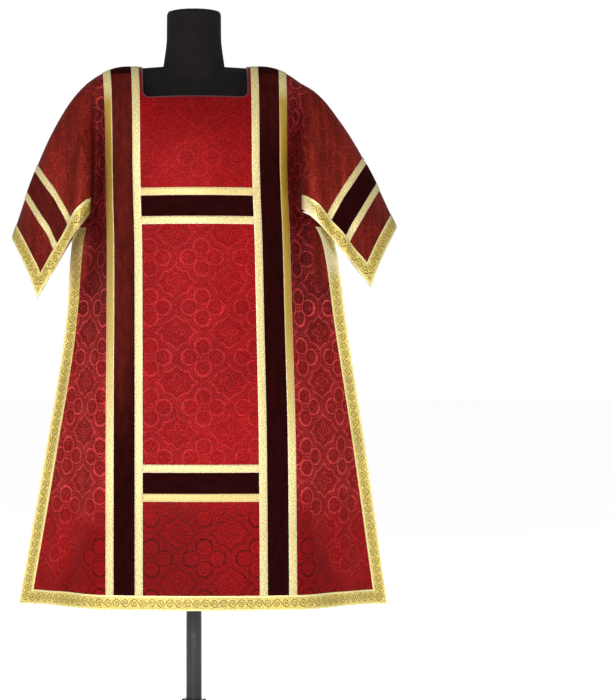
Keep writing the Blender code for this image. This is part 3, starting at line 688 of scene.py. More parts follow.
class Panel:
    """Front or back of the garment, with all that is sewn on it."""

    def __init__(self, side):
        self.side = side
        self.surface = panel_surface(side)
        self.near = fine(LINES, CELL / STRIPES_HALF)
        self.ups = self.row_values()
        self.grid = Grid(self.surface, [[(across, up) for across in self.columns(up)]
                                        for up in self.ups])
        self.level = self.levels()

    def row_values(self):
        side = self.side
        heights = {HEM[side], HEM[side] + GALLOON, UNDERARM, GALLOON_TOP[side], SHOULDER_BASE}
        for place in BAND_TOPS[side]:
            heights.update(band_lines(side, place))
        keys = [height_to_up(side, height) for height in sorted(heights)]
        low = fine(keys[:2], (keys[1] - keys[0]) / MITRE_STEPS)
        hanging = fine(keys[1:], CELL / (SHOULDER_BASE - HEM[side]))
        neck = NECK_UP[side]
        over = fine([1.0, neck, neck + NECK_CORNER_UP[side], 2 - SEAM_MARGIN],
                    CELL / SHOULDER_LENGTH)
        return [*low, *hanging[1:], *over[1:]]

    def columns(self, up):
        halves = {}
        for sign in HANDS.values():
            inner = galloon_line(self.side, sign, up)
            side_part = [1 + inner * k / SIDE_STEPS for k in range(1, SIDE_STEPS + 1)]
            edge = [1 + inner + (1 - inner) * k / MITRE_STEPS for k in range(1, MITRE_STEPS + 1)]
            halves[sign] = [*self.near, *side_part, *edge]
        return [*(-value for value in reversed(halves[-1][1:])), *halves[1]]

    def levels(self):
        """Distance up the cloth of each grid place: its height as far as the shoulder curve, and
        from there the length over the shoulder."""
        levels = self.grid.plain[:, :, 2].copy()
        first = self.row_of(1.0)
        levels[first:] = levels[first] + running(self.grid.plain[first:], 0)
        return levels

    def row_of(self, up):
        return int(np.argmin([abs(row - up) for row in self.ups]))

    def level_at(self, up):
        return np.interp(up, self.ups, self.level[:, self.grid.middle])

    def cloth(self):
        """The brocade panel with its square neckline and rounded lower corners."""
        grid = self.grid
        half = NECK_HALF / STRIPES_HALF
        neck_row = self.row_of(NECK_UP[self.side])
        corner_row = self.row_of(NECK_UP[self.side] + NECK_CORNER_UP[self.side])
        across = grid.rows[neck_row, :, 0]

        def outside_neck(i, j):
            return i < neck_row or abs(across[j] + across[j + 1]) / 2 > half

        polygons = grid.cells(outside_neck)
        values = grid.values.tolist()
        for sign in HANDS.values():
            outer = int(np.argmin(np.abs(across - sign * half)))
            inner = int(np.argmin(np.abs(across - sign * LINES[1])))
            border = [i * grid.column_count + outer for i in range(corner_row, neck_row, -1)]
            border.extend(neck_row * grid.column_count + j
                          for j in range(outer, inner - sign, -sign))
            corner = neck_corner(self.side, sign, 0.0, len(border))[1:-1]
            arc = [border[0], *range(len(values), len(values) + len(corner)), border[-1]]
            values.extend(corner)
            for k in range(len(border) - 1):
                ids = tuple(dict.fromkeys((border[k], border[k + 1], arc[k + 1], arc[k])))
                polygons.append((ids if sign < 0 else ids[::-1], 0))
        extra = np.array(values[len(grid.values):])
        flat = np.vstack((grid.map(grid.from_middle, self.level), np.column_stack(
            (extra[:, 0] * STRIPES_HALF, self.level_at(extra[:, 1])))))
        return brocade_piece(f"{self.side}_panel_cloth", self.surface, values, polygons, flat)

    def strip(self, name, finish, low, high, bottom, top, upright):
        """A straight trim between two across values and two up values, its edges rounded off."""
        drop = SHOULDER_BASE - HEM[self.side]
        lines = sorted({*self.near, *(-value for value in self.near)})
        across = ends_drawn_in(lines, low, high, GAP / STRIPES_HALF / 2,
                               TRIM_BEVEL / STRIPES_HALF)
        ups = ends_drawn_in(self.ups, bottom, top, GAP / drop, TRIM_BEVEL / drop)
        values = np.array([(value, up) for up in ups for value in across])
        width = (values[:, 0] - (low + high) / 2) * STRIPES_HALF
        level = self.level_at(values[:, 1])
        flat = (level, width)
        if not upright:
            flat = (width, level - self.level_at((bottom + top) / 2))
        return trim(name, self.surface, values, cells(len(ups), len(across)),
                    [np.column_stack(flat)], finish)

    def trims(self):
        """The velvet stripes from the hem galloon to the shoulder seam, the cross bands between
        them, and the galloon up both side edges and along the hem."""
        side = self.side
        half = CENTRE_HALF / STRIPES_HALF
        for hand, sign in HANDS.items():
            for name, finish, near, far in braided(
                    f"stripe_braid_{side}_{hand}", f"velvet_stripe_{side}_{hand}",
                    ("inner", "outer"), LINES[-4:]):
                yield self.strip(name, finish, *sorted((sign * near, sign * far)),
                                 self.ups[MITRE_STEPS], self.ups[-1], True)
        for place in BAND_TOPS[side]:
            ups = [height_to_up(side, height) for height in band_lines(side, place)]
            for name, finish, top, bottom in braided(
                    f"band_braid_{side}_{place}", f"velvet_band_{side}_{place}",
                    ("upper", "lower"), ups):
                yield self.strip(name, finish, -half, half, bottom, top, False)
        last_row = self.row_of(height_to_up(side, GALLOON_TOP[side]))
        yield trim(f"edge_galloon_{side}", self.surface, self.grid.values,
                   edged_cells(self.grid, last_row), self.grid.edge_braid_maps(self.level),
                   "galloon")


def neck_corner(side, hand_sign, inset, count):
    """Values round a neckline corner, from its side down to its bottom edge."""
    radius = NECK_CORNER - inset
    turns = [math.pi / 2 * step / (count - 1) for step in range(count)]
    return [(hand_sign * (LINES[1] + radius * math.cos(turn) / STRIPES_HALF),
             NECK_UP[side] + NECK_CORNER_UP[side] * (1 - radius / NECK_CORNER * math.sin(turn)))
            for turn in turns]


def unit(vectors):
    return vectors / np.linalg.norm(vectors, axis=1)[:, None]


def neck_piping(panels):
    """A round piping just inside the whole neck opening."""
    inset = PIPING_RADIUS + GAP
    centres = []
    for side, panel in panels.items():
        left = neck_corner(side, -1, inset, CORNER_STEPS)
        right = neck_corner(side, 1, inset, CORNER_STEPS)[::-1]
        ups = [up for up in panel.ups if up > left[0][1] + CORNER_CLEAR]
        middle = np.linspace(left[-1][0], right[0][0], FRONT_STEPS)[1:-1]
        path = [*((left[0][0], up) for up in reversed(ups)), *left,
                *((across, left[-1][1]) for across in middle), *right,
                *((right[-1][0], up) for up in ups)]
        values = np.array(path[::FACING[side]]).T
        points = panel.surface.place(*values) - panel.surface.normals(*values) * CLOTH / 2
        centres.extend(points if side == "front" else points[1:-1])
    centres = np.array(centres)
    count = len(centres)
    ahead = unit(np.roll(centres, -1, axis=0) - np.roll(centres, 1, axis=0))
    outward = centres - centres.mean(axis=0)
    outward = unit(outward - ahead * (outward * ahead).sum(axis=1)[:, None])
    across = np.cross(ahead, outward)
    along = lengths_along(np.vstack((centres, centres[:1])))
    turn = 2 * math.pi / PIPING_SIDES
    girth = turn * PIPING_RADIUS
    points, faces, flats = [], [], []
    for k in range(PIPING_SIDES):
        points.append(centres + PIPING_RADIUS * (math.cos(turn * k) * outward
                                                 + math.sin(turn * k) * across))
        here = k * count
        beside = (k + 1) % PIPING_SIDES * count
        for i in range(count):
            after = (i + 1) % count
            faces.append((here + i, beside + i, beside + after, here + after))
            flats.extend(((along[i], k * girth), (along[i], (k + 1) * girth),
                          (along[i + 1], (k + 1) * girth), (along[i + 1], k * girth)))
    return mesh_object("neck_piping_cord", np.vstack(points), faces, ("piping",), flats)


# ---------------------------------------------------------------- the sleeves

class Sleeve:
    """One sleeve, folded over its ridge and open underneath."""

    def __init__(self, hand):
        self.hand = hand
        self.surface = sleeve_surface(hand)
        self.around = np.linspace(-1, 1, 2 * MEASURE_STEPS + 1)
        self.rises = np.linspace(0, 1, MEASURE_STEPS)
        self.lengths = [lengths_along(self.surface.base(np.full_like(self.rises, around),
                                                        self.rises)) for around in self.around]
        near_cuff = fine([0.0, GALLOON], GALLOON / MITRE_STEPS)
        self.distances = [*near_cuff, *fine([GALLOON, *SLEEVE_LINES], CELL)[1:]]
        parts = fine([0.0, 1.0], UPPER_STEP)[1:]
        self.bare_rows = int(GALLOON_STOPS * len(parts))
        self.grid = Grid(self.surface, [
            *(self.row(distance) for distance in self.distances),
            *(self.row(SLEEVE_LINES[-1], part) for part in parts)])
        self.level = running(self.grid.plain, 0)

    def row(self, distance, above=0.0):
        """One row of values at a distance from the cuff, or part of the way on from there."""
        rise = np.array([np.interp(distance, lengths, self.rises) for lengths in self.lengths])
        rise += (1 - rise) * above
        path = lengths_along(self.surface.base(self.around, rise))
        inner = np.interp((GALLOON, path[-1] - GALLOON), path, self.around)
        arounds = np.concatenate((
            np.linspace(-1, inner[0], MITRE_STEPS + 1),
            np.linspace(inner[0], 0, SLEEVE_STEPS + 1)[1:],
            np.linspace(0, inner[1], SLEEVE_STEPS + 1)[1:],
            np.linspace(inner[1], 1, MITRE_STEPS + 1)[1:],
        ))
        return np.column_stack((arounds, np.interp(arounds, self.around, rise)))

    def cloth(self):
        grid = self.grid
        return brocade_piece(f"sleeve_{self.hand}_cloth", self.surface, grid.values, grid.cells(),
                             grid.map(grid.from_middle, self.level + SLEEVE_PATTERN_RISE))

    def trims(self):
        """The velvet band round the sleeve with its braids, and the galloon round its edges."""
        for name, finish, near, far in braided(
                f"sleeve_braid_{self.hand}", f"sleeve_velvet_{self.hand}", ("lower", "upper"),
                SLEEVE_LINES):
            distances = ends_drawn_in(self.distances, near, far, GAP / 2, TRIM_BEVEL)
            rows = [self.row(distance)[MITRE_STEPS:-MITRE_STEPS] for distance in distances]
            for row in rows:
                row[[0, -1], 0] += (END_TUCK, -END_TUCK)
            grid = Grid(self.surface, rows)
            height = np.array(distances)[:, None] - (near + far) / 2
            flat = grid.map(grid.from_middle, np.repeat(height, grid.column_count, axis=1))
            yield trim(name, self.surface, grid.values, grid.cells(), [flat], finish)
        last_row = self.grid.row_count - 1 - self.bare_rows
        yield trim(f"sleeve_galloon_{self.hand}", self.surface, self.grid.values,
                   edged_cells(self.grid, last_row), self.grid.edge_braid_maps(self.level),
                   "galloon")


# ---------------------------------------------------------------- dress form and stand

def form_radius(height, angle):
    """Radius of the form's skin: the torso and the neck, joined smoothly."""
    total = np.zeros_like(angle)
    if height <= TORSO[-1][0]:
        width, front, back = (float(value[0])
                              for value in read(TORSO_COLUMNS, TORSO, height).values())
        depth = np.where(np.sin(angle) > 0, back, front)
        power = TORSO_SQUARENESS
        radius = (np.abs(np.cos(angle) / width) ** power
                  + np.abs(np.sin(angle) / depth) ** power) ** (-1 / power)
        total += radius**BLEND_POWER
    if height >= NECK[0][0]:
        width, depth = (float(value[0]) for value in read(NECK_COLUMNS, NECK, height).values())
        total += np.hypot(np.cos(angle) / width, np.sin(angle) / depth) ** -BLEND_POWER
    return total ** (1 / BLEND_POWER)


def ring_solid(name, radii, heights, finish):
    """A closed solid through level rings, listed from the bottom up.  radii is a function of a
    ring's number and the angles round it."""
    sides = FORM_SIDES
    angles = np.arange(sides) * 2 * math.pi / sides
    rings = [radii(i, angles) * np.ones(sides) for i in range(len(heights))]
    points = [np.column_stack((radius * np.cos(angles), radius * np.sin(angles),
                               np.full(sides, height))) for radius, height in zip(rings, heights)]
    faces, flats = [], []
    for i in range(len(heights) - 1):
        girth = float(np.max(rings[i])) * 2 * math.pi / sides
        for k in range(sides):
            here = i * sides + k
            beside = i * sides + (k + 1) % sides
            faces.append((here, beside, beside + sides, here + sides))
            flats.extend(((k * girth, heights[i]), ((k + 1) * girth, heights[i]),
                          ((k + 1) * girth, heights[i + 1]), (k * girth, heights[i + 1])))
    for ring, order in ((0, -1), (len(heights) - 1, 1)):
        faces.append(tuple(range(ring * sides, (ring + 1) * sides))[::order])
        flats.extend(points[ring][::order, :2].tolist())
    return mesh_object(name, np.vstack(points), faces, (finish,), flats)


# ---------------------------------------------------------------- shader formulas

class Formula:
    """A number worked out by shader nodes, so that a pattern reads as ordinary sums."""

    def __init__(self, tree, socket):
        self.tree = tree
        self.socket = socket

    def math(self, operation, *others):
        node = self.tree.nodes.new("ShaderNodeMath")
        node.operation = operation
        for place, value in enumerate((self, *others)):
            if isinstance(value, Formula):
                self.tree.links.new(value.socket, node.inputs[place])
            else:
                node.inputs[place].default_value = value
        return Formula(self.tree, node.outputs[0])

    def __add__(self, other):
        return self.math("ADD", other)

    def __sub__(self, other):
        return self.math("SUBTRACT", other)

    def __rsub__(self, other):
        return self * -1 + other

    def __mul__(self, other):
        return self.math("MULTIPLY", other)

    def __truediv__(self, other):
        return self.math("DIVIDE", other)

    def __abs__(self):
        return self.math("ABSOLUTE")

    def under(self, other):
        return self.math("MINIMUM", other)

    def over(self, other):
        return self.math("MAXIMUM", other)

    def folded(self, half):
        """Distance to the nearest multiple of twice the half."""
        return self.math("PINGPONG", half)

    def ramp(self, start, end, low=0.0, high=1.0):
        """Smoothly from low at start to high at end."""
        node = self.tree.nodes.new("ShaderNodeMapRange")
        node.interpolation_type = "SMOOTHSTEP"
        if start > end:
            start, end, low, high = end, start, high, low
        self.tree.links.new(self.socket, node.inputs["Value"])
        for name, value in (("From Min", start), ("From Max", end),
                            ("To Min", low), ("To Max", high)):
            node.inputs[name].default_value = value
        return Formula(self.tree, node.outputs[0])

    def line(self, width, soft, at=0.0):
        """1 within a width of a value, fading to 0 over the soft distance beyond it."""
        return abs(self - at).ramp(width + soft, width)


def reach(x, y):
    """Distance from the middle of a pattern's own coordinates."""
    return (x * x + y * y).math("SQRT")


def highest(*masks):
    return reduce(Formula.over, masks)


def linear(rgb):
    """A screen colour, 0 to 255, as the linear colour that a shader takes."""
    parts = [value / 255 for value in rgb]
    return (*(part / 12.92 if part <= 0.04045 else ((part + 0.055) / 1.055) ** 2.4
              for part in parts), 1.0)


class Finish:
    """A material under construction.  u and v are distances on the cloth, x, y and z are places
    on the object and out is the distance from its middle line, all in metres.  colour is what has
    been laid on so far."""

    def __init__(self, name, tint=None, **sockets):
        self.material = bpy.data.materials.new(name)
        self.material.use_nodes = True
        self.tree = self.material.node_tree
        self.shader = self.tree.nodes["Principled BSDF"]
        for socket, value in sockets.items():
            self.shader.inputs[socket.replace("_", " ")].default_value = value
        if tint:
            self.shader.inputs["Sheen Tint"].default_value = linear(tint)
        layer = self.tree.nodes.new("ShaderNodeUVMap")
        layer.uv_map = "flat"
        self.cloth = layer.outputs[0]
        self.position = self.tree.nodes.new("ShaderNodeNewGeometry").outputs["Position"]
        self.u, self.v, _ = self.split(self.cloth)
        self.x, self.y, self.z = self.split(self.position)
        self.out = abs(self.x - MIDDLE_ACROSS)

    def link(self, source, target):
        self.tree.links.new(getattr(source, "socket", source), target)

    def split(self, vector):
        node = self.tree.nodes.new("ShaderNodeSeparateXYZ")
        self.link(vector, node.inputs[0])
        return [Formula(self.tree, socket) for socket in node.outputs]

    def noise(self, scale, detail=2.0, stretch=(1.0, 1.0, 1.0), source=None, shift=0.0):
        mapping = self.tree.nodes.new("ShaderNodeMapping")
        mapping.inputs["Location"].default_value = (shift, shift, shift)
        mapping.inputs["Scale"].default_value = tuple(scale * value for value in stretch)
        self.link(source or self.cloth, mapping.inputs["Vector"])
        node = self.tree.nodes.new("ShaderNodeTexNoise")
        node.inputs["Scale"].default_value = 1.0
        node.inputs["Detail"].default_value = detail
        self.link(mapping.outputs[0], node.inputs["Vector"])
        return Formula(self.tree, node.outputs[0])

    def mix(self, mask, first, second):
        """From the first colour where the mask is 0 to the second where it is 1."""
        node = self.tree.nodes.new("ShaderNodeMix")
        node.data_type = "RGBA"
        self.link(mask, node.inputs[0])
        for place, value in ((6, first), (7, second)):
            if isinstance(value, tuple):
                node.inputs[place].default_value = linear(value)
            else:
                self.link(value, node.inputs[place])
        return node.outputs[2]

    def start(self, mask, first, second):
        """Begin with a colour between two tones."""
        self.colour = self.mix(mask, first, second)

    def lay(self, mask, colour):
        """Lay another colour on where the mask is 1."""
        self.colour = self.mix(mask, self.colour, colour)

    def shade(self, amount):
        """Make the colour darker or lighter by a number near 1."""
        node = self.tree.nodes.new("ShaderNodeVectorMath")
        node.operation = "SCALE"
        self.link(self.colour, node.inputs[0])
        self.link(amount, node.inputs["Scale"])
        self.colour = node.outputs[0]

    def finish(self, roughness, height=None, strength=0.6):
        """Put the pattern on the shader.  height is in millimetres."""
        self.link(self.colour, self.shader.inputs["Base Color"])
        self.link(roughness, self.shader.inputs["Roughness"])
        if height is not None:
            bump = self.tree.nodes.new("ShaderNodeBump")
            bump.inputs["Strength"].default_value = strength
            bump.inputs["Distance"].default_value = 0.001
            self.link(height, bump.inputs["Height"])
            self.link(bump.outputs[0], self.shader.inputs["Normal"])
        return self.material


# ---------------------------------------------------------------- brocade

# The figure's repeat and its parts, in centimetres: four overlapping rings round a centre, their
# outline repeated outwards, and a flower in the hollow diamond between four of them
PITCH_ACROSS = 11.4
PITCH_UP = 10.8
FIGURE_LEVEL = 82.8
FIGURE_SHIFT = 0.66
RING_OUT = 2.95
RING_UP = 2.45
RING_RADIUS = 1.95
RING_SHIFT = 0.22
RING_HOLE = 1.50
OUTLINES = (0.40, 0.84)
DIAMOND_AT = 1.24
PETAL_REACH = 1.9
LEAF_REACH = (0.5, 0.9)
SPECK_PITCH = 0.62


def ring(x, y, out, up):
    """A ring that is thick on its outer side, and its distance from a place."""
    outer = reach(x - out, y - up) - RING_RADIUS
    share = 1 - RING_SHIFT / max(out, up)
    hole = reach(x - out * share, y - up * share) - RING_HOLE
    return outer.ramp(0.06, -0.06) * hole.ramp(-0.06, 0.06), outer


def brocade_figure(u, v):
    """Where the woven figure shows, from 0 to 1, for cloth distances in centimetres."""
    x = (u - FIGURE_SHIFT).folded(PITCH_ACROSS / 2)
    y = (v - FIGURE_LEVEL).folded(PITCH_UP / 2)
    side_ring, side_out = ring(x, y, RING_OUT, 0.0)
    upper_ring, upper_out = ring(x, y, 0.0, RING_UP)
    outline = side_out.under(upper_out)
    rim = side_ring.over(upper_ring) * outline.ramp(-0.70, -0.45, 0.50, 1.0)
    heart = highest(
        (x + y).line(0.07, 0.08, at=1.15) * 0.6,
        reach(x, y).ramp(0.26, 0.14) * 0.7,
        reach(x - RING_OUT, y).line(0.05, 0.08, at=0.55) * 0.4,
        reach(x, y - RING_UP).line(0.05, 0.08, at=0.55) * 0.4,
    )
    contours = highest(*(outline.line(0.06, 0.08, at=at) * 0.65 for at in OUTLINES))
    edge = outline.line(0.12, 0.09, at=DIAMOND_AT)
    across = PITCH_ACROSS / 2 - x
    up = PITCH_UP / 2 - y
    out = reach(across, up)
    turn = up.math("ARCTAN2", across)
    petal = abs((turn * 2).math("COSINE")) * PETAL_REACH
    leaf = abs((turn * 4).math("SINE")) * LEAF_REACH[1] + LEAF_REACH[0]
    flower = highest((out - petal).line(0.10, 0.09) * 0.8, (out - leaf).line(0.08, 0.08) * 0.6,
                     out.ramp(0.30, 0.16))
    first = ((across + up) * math.sqrt(0.5)).folded(SPECK_PITCH / 2)
    second = ((across - up) * math.sqrt(0.5)).folded(SPECK_PITCH / 2)
    open_ground = outline.ramp(1.42, 1.56).over(outline.ramp(-0.50, -0.64))
    specks = reach(first, second).ramp(0.23, 0.14) * open_ground * 0.55
    return highest(rim, heart, contours, edge, flower, specks)


def make_brocade(name, reverse=False):
    """Red damask: a satin figure that is lighter than its ground, with a painted sheen that makes
    it lighter still on the side parts and dark towards the hem.  Painted shade darkens the side
    parts, the valleys beside the sleeves and the cloth below them, and the sleeves carry a
    painted brown sheen with painted light and shade on their folds.  The reverse is duller, with
    figure and ground changed over."""
    made = Finish(name, (230, 130, 96), Metallic=0.08, Sheen_Weight=0.04, Sheen_Roughness=0.4,
                  Specular_IOR_Level=0.06)
    figure = brocade_figure(made.u * 100, made.v * 100)
    if reverse:
        figure = figure * -0.6 + 0.6
    out, z = made.out, made.z
    patch = made.noise(5.5, shift=3.0)
    grain = made.noise(310.0, 2.0, (1.0, 0.8, 1.0))
    broken = made.noise(120.0, shift=5.0)
    cloud = made.noise(36.0, 3.0)
    fold_light_and_shade = made.noise(1.0, 2.0, (70.0, 20.0, 3.5), made.position)
    # where the cloth is, and the painted shade laid on it: the side parts, painted darker, their
    # upper half in painted shade, the sleeves and their ends, the painted shade at the bottom of
    # the valleys beside the sleeves, the painted shadow below the sleeves, and the part near the
    # hem
    side = out.ramp(0.15, 0.21) * z.ramp(0.42, 0.56)
    recess_shade = side * z.ramp(0.76, 0.98)
    sleeve = (out + z.ramp(1.13, 1.18) * 0.014).ramp(0.235, 0.256) * z.ramp(0.96, 1.02)
    cuff = sleeve * (out - z * 0.476).ramp(-0.188, -0.178)
    valley_shade = (out.ramp(0.202, 0.218) * out.ramp(0.243, 0.236)
            * z.ramp(1.06, 1.14) * z.ramp(1.43, 1.36))
    shade_below_sleeve = side * z.ramp(0.93, 1.02) * z.ramp(1.17, 1.11) * (1 - sleeve)
    low = (z + out.ramp(0.19, 0.34) * 0.2).ramp(0.57, 0.47)
    light = (z.ramp(0.30, 0.62) + (patch - 0.5) * 2.2).ramp(0.1, 0.7)
    plain = z.ramp(1.02, 1.18) * (1 - side)
    made.start(patch.ramp(0.3, 0.7), (120, 8, 10), (138, 10, 12))
    # painted shade: the side parts darker, and their upper half darker still
    made.lay(side, (112, 11, 9))
    made.lay(recess_shade, (76, 7, 7))
    # painted sheen on the figure: dark near the hem, lighter on the side parts higher up, and
    # shown more strongly there
    lines = made.mix(low, (166, 36, 38), (62, 2, 4))
    lines = made.mix(side * light, lines, (186, 58, 58))
    shown = figure * cloud.ramp(0.3, 0.7, 0.60, 1.0) * broken.ramp(0.3, 0.6, 0.60, 1.0)
    shown = shown * (plain * -0.62 + 1) * (side.over(low) * 0.25 + 0.75)
    made.lay(shown, lines)
    # painted sheen: the sleeves browner and duller
    made.lay(sleeve * 0.85, made.mix(shown * 0.2, (106, 26, 16), (126, 40, 28)))
    made.shade(cuff * -0.24 + 1)
    # painted shade at the bottom of the valleys beside the sleeves
    made.lay(valley_shade * 0.28, (46, 3, 6))
    # painted shadow below the sleeves
    made.lay(shade_below_sleeve * 0.42, (44, 3, 5))
    # painted light and shade of the folds on the sleeves
    made.shade((fold_light_and_shade.ramp(0.3, 0.7, 0.76, 1.24) - 1) * sleeve + 1)
    made.shade(z.ramp(0.34, 0.56, 0.94, 1.0))
    made.shade(z.ramp(1.44, 1.20, 0.82, 1.0))
    made.shade(grain.ramp(0.25, 0.75, 0.52, 1.50))
    made.shade(cloud.ramp(0.3, 0.7, 0.92, 1.06))
    if reverse:
        made.shade(grain.ramp(0.0, 1.0, 0.62, 0.70))
    return made.finish(figure * -0.12 + 0.60, figure * 0.008 + grain * 0.06)


# ---------------------------------------------------------------- velvet and braids

# The height of the join at the shoulder, behind which the nap lies the other way
SHOULDER_SEAM = 1.455
STITCH_PITCH = 2.8

# The wide galloon's running scroll, in millimetres: a stem that waves between the edges, and a
# spiral in each of its bends
BEND = 19.2
STEM_REACH = 8.0
SPIRAL_DROP = 1.2
SPIRAL_STEP = 4.4
SPIRAL_REACH = 7.2
PLAIN_EDGE = 4.4


def make_velvet(name):
    """Near-black red velvet, with a painted sheen that makes it lighter high on the garment, most
    of all on the left, as far as the shoulder seam."""
    made = Finish(name, (200, 80, 60), Sheen_Weight=0.06, Sheen_Roughness=0.35,
                  Specular_IOR_Level=0.02)
    nap = made.noise(9.0, 3.0, (1.0, 3.0, 1.0), shift=1.0)
    brush = made.noise(55.0, 3.0, (0.5, 1.4, 1.0))
    pile = made.noise(600.0, 1.0)
    # painted sheen: lighter high on the garment and most on the left, ending at the shoulder seam
    painted_sheen = made.z.ramp(0.50, 1.00) * made.x.ramp(-0.10, -0.16) + made.z.ramp(1.15, 1.47) * 0.4
    before_seam = made.z.ramp(SHOULDER_SEAM + 0.003, SHOULDER_SEAM)
    lit = (painted_sheen + (nap - 0.5) * 0.35) * before_seam
    made.start(lit.ramp(0.0, 1.0), (32, 4, 4), (78, 21, 16))
    made.shade(brush.ramp(0.25, 0.75, 0.72, 1.28))
    made.shade(pile.ramp(0.3, 0.7, 0.70, 1.30))
    return made.finish(nap * 0.15 + 0.75, pile * 0.10 + brush * 0.20, 0.5)


def stitches(along, from_edge, at):
    """A row of small stitches beside a braid's edge, in millimetres."""
    return from_edge.line(0.16, 0.10, at=at) * along.folded(STITCH_PITCH / 2).ramp(0.95, 0.80)


def make_narrow_braid(name):
    """Pale gold braid with a fine diamond weave and plain lighter edges.  Painted shade makes it
    darker on the side parts' borders and on one braid of the chest band and one of the knee band
    in front, and it is darker near the hem."""
    made = Finish(name, Metallic=0.25, Specular_IOR_Level=0.4)
    along = made.u * 1000
    across = made.v * 1000
    first = (along + across).folded(1.7)
    second = (along - across).folded(1.7)
    diamonds = first.under(second).ramp(0.55, 0.20)
    weave = diamonds.over(first.over(second).ramp(1.25, 1.60)) * 0.8
    from_edge = NARROW_BRAID * 500 - abs(across)
    field = from_edge.ramp(1.5, 1.9)
    grain = made.noise(330.0)
    patch = made.noise(14.0)
    groove = from_edge.line(0.12, 0.14, at=1.7).over(stitches(along, from_edge, 0.9) * 0.7)
    made.start(field, (248, 242, 204), made.mix(weave, (244, 232, 176), (206, 180, 98)))
    made.lay(groove, (172, 140, 66))
    made.shade(grain.ramp(0.25, 0.75, 0.54, 1.24))
    made.shade(patch.ramp(0.25, 0.75, 0.93, 1.04))
    out, z = made.out, made.z
    # painted shade on the chest band's upper braid and the knee band's lower braid, in front
    chest = z.ramp(1.176, 1.178) * z.ramp(1.199, 1.197) * 0.7
    knee = z.ramp(0.513, 0.515) * z.ramp(0.538, 0.536)
    made.lay((chest + knee) * out.ramp(0.128, 0.126) * made.y.ramp(0.01, -0.01) * 0.42,
             (196, 160, 66))
    made.shade(z.ramp(0.48, 0.55, 0.90, 1.0))
    # painted shade on the stripes' outer braids along the side parts, more on the right and
    # higher up
    outer = (out.ramp(0.160, 0.176) * out.ramp(0.228, 0.218)
             * z.ramp(1.43, 1.38) * z.ramp(0.55, 0.95))
    shaded = made.x.ramp(-0.05, 0.05) * 0.16 + z.ramp(1.05, 1.20) * 0.12
    made.lay(outer * (field * 0.45 + 0.35 + shaded),
             made.mix(weave, (202, 166, 58), (136, 102, 16)))
    return made.finish(grain.ramp(0.2, 0.8, 0.52, 0.36),
                       diamonds * -0.16 + grain * 0.12 + groove * -0.2)


def scroll(along, across):
    """Where the scroll's gold cord lies, for distances along and across from the middle."""
    bend = along / BEND
    number = bend.math("FLOOR")
    x = (bend - number - 0.5) * BEND
    y = across * (number.math("FLOORED_MODULO", 2.0) * -2 + 1)
    angle = x * (math.pi / BEND)
    slope = angle.math("SINE") * (STEM_REACH * math.pi / BEND)
    stem = (y - angle.math("COSINE") * STEM_REACH) / (slope * slope + 1).math("SQRT")
    lower = y + SPIRAL_DROP
    out = reach(x, lower)
    turn = lower.math("ARCTAN2", x) / (2 * math.pi)
    arm = (out / SPIRAL_STEP + turn).folded(0.5) * SPIRAL_STEP
    spiral = arm.ramp(1.00, 0.60) * out.ramp(SPIRAL_REACH, SPIRAL_REACH - 0.5)
    return stem.line(0.55, 0.45).over(spiral)


def make_galloon(name):
    """Wide gold braid woven with a running scroll between plain edges.  Under the sleeves it is
    shaded on the left and shines on the right."""
    made = Finish(name, Metallic=0.25, Specular_IOR_Level=0.4)
    along = made.u * 1000
    across = made.v * 1000 - GALLOON * 500
    from_edge = GALLOON * 500 - abs(across)
    field = from_edge.ramp(PLAIN_EDGE - 0.3, PLAIN_EDGE + 0.3)
    cord = scroll(along, across) * field
    grain = made.noise(300.0)
    patch = made.noise(10.0)
    rib = along.folded(0.45).ramp(0.0, 0.45)
    groove = from_edge.line(0.22, 0.2, at=PLAIN_EDGE).over(stitches(along, from_edge, 1.3) * 0.7)
    made.start(grain.ramp(0.3, 0.7), (200, 176, 84), (222, 202, 112))
    made.lay(cord, (112, 82, 14))
    made.lay(1 - field, (240, 228, 160))
    made.lay(groove, (176, 144, 62))
    made.shade(grain.ramp(0.25, 0.75, 0.66, 1.16))
    made.shade(patch.ramp(0.3, 0.7, 0.90, 1.06))
    x, z = made.x, made.z
    side = (made.out + z * 0.554).ramp(0.888, 0.878)
    depth = z.ramp(0.97, 1.04) * 0.45 + z.ramp(0.62, 0.80) * 0.20
    # painted shade on the left side galloon below the sleeve
    made.lay(side * depth * x.ramp(-0.10, -0.20), (112, 82, 28))
    # painted highlight on the right side galloon below the sleeve
    made.lay(side * z.ramp(0.99, 1.05) * x.ramp(0.10, 0.20) * 0.50, (255, 246, 206))
    return made.finish(cord * -0.08 + 0.46,
                       cord * 0.30 + rib * 0.05 + grain * 0.08 + groove * -0.2)


# ---------------------------------------------------------------- piping, jersey, stand, floor

FLOOR_GLOW = 0.65


def make_piping(name):
    """Dark red twisted cord."""
    made = Finish(name, Specular_IOR_Level=0.3, Sheen_Weight=0.2)
    twist = (made.u * 1000 + made.v * 700).folded(0.6)
    grain = made.noise(400.0)
    made.start(twist.ramp(0.1, 0.5), (48, 8, 12), (92, 22, 26))
    made.shade(grain.ramp(0.2, 0.8, 0.8, 1.2))
    return made.finish(grain.ramp(0.0, 1.0, 0.55, 0.8), twist * 0.3)


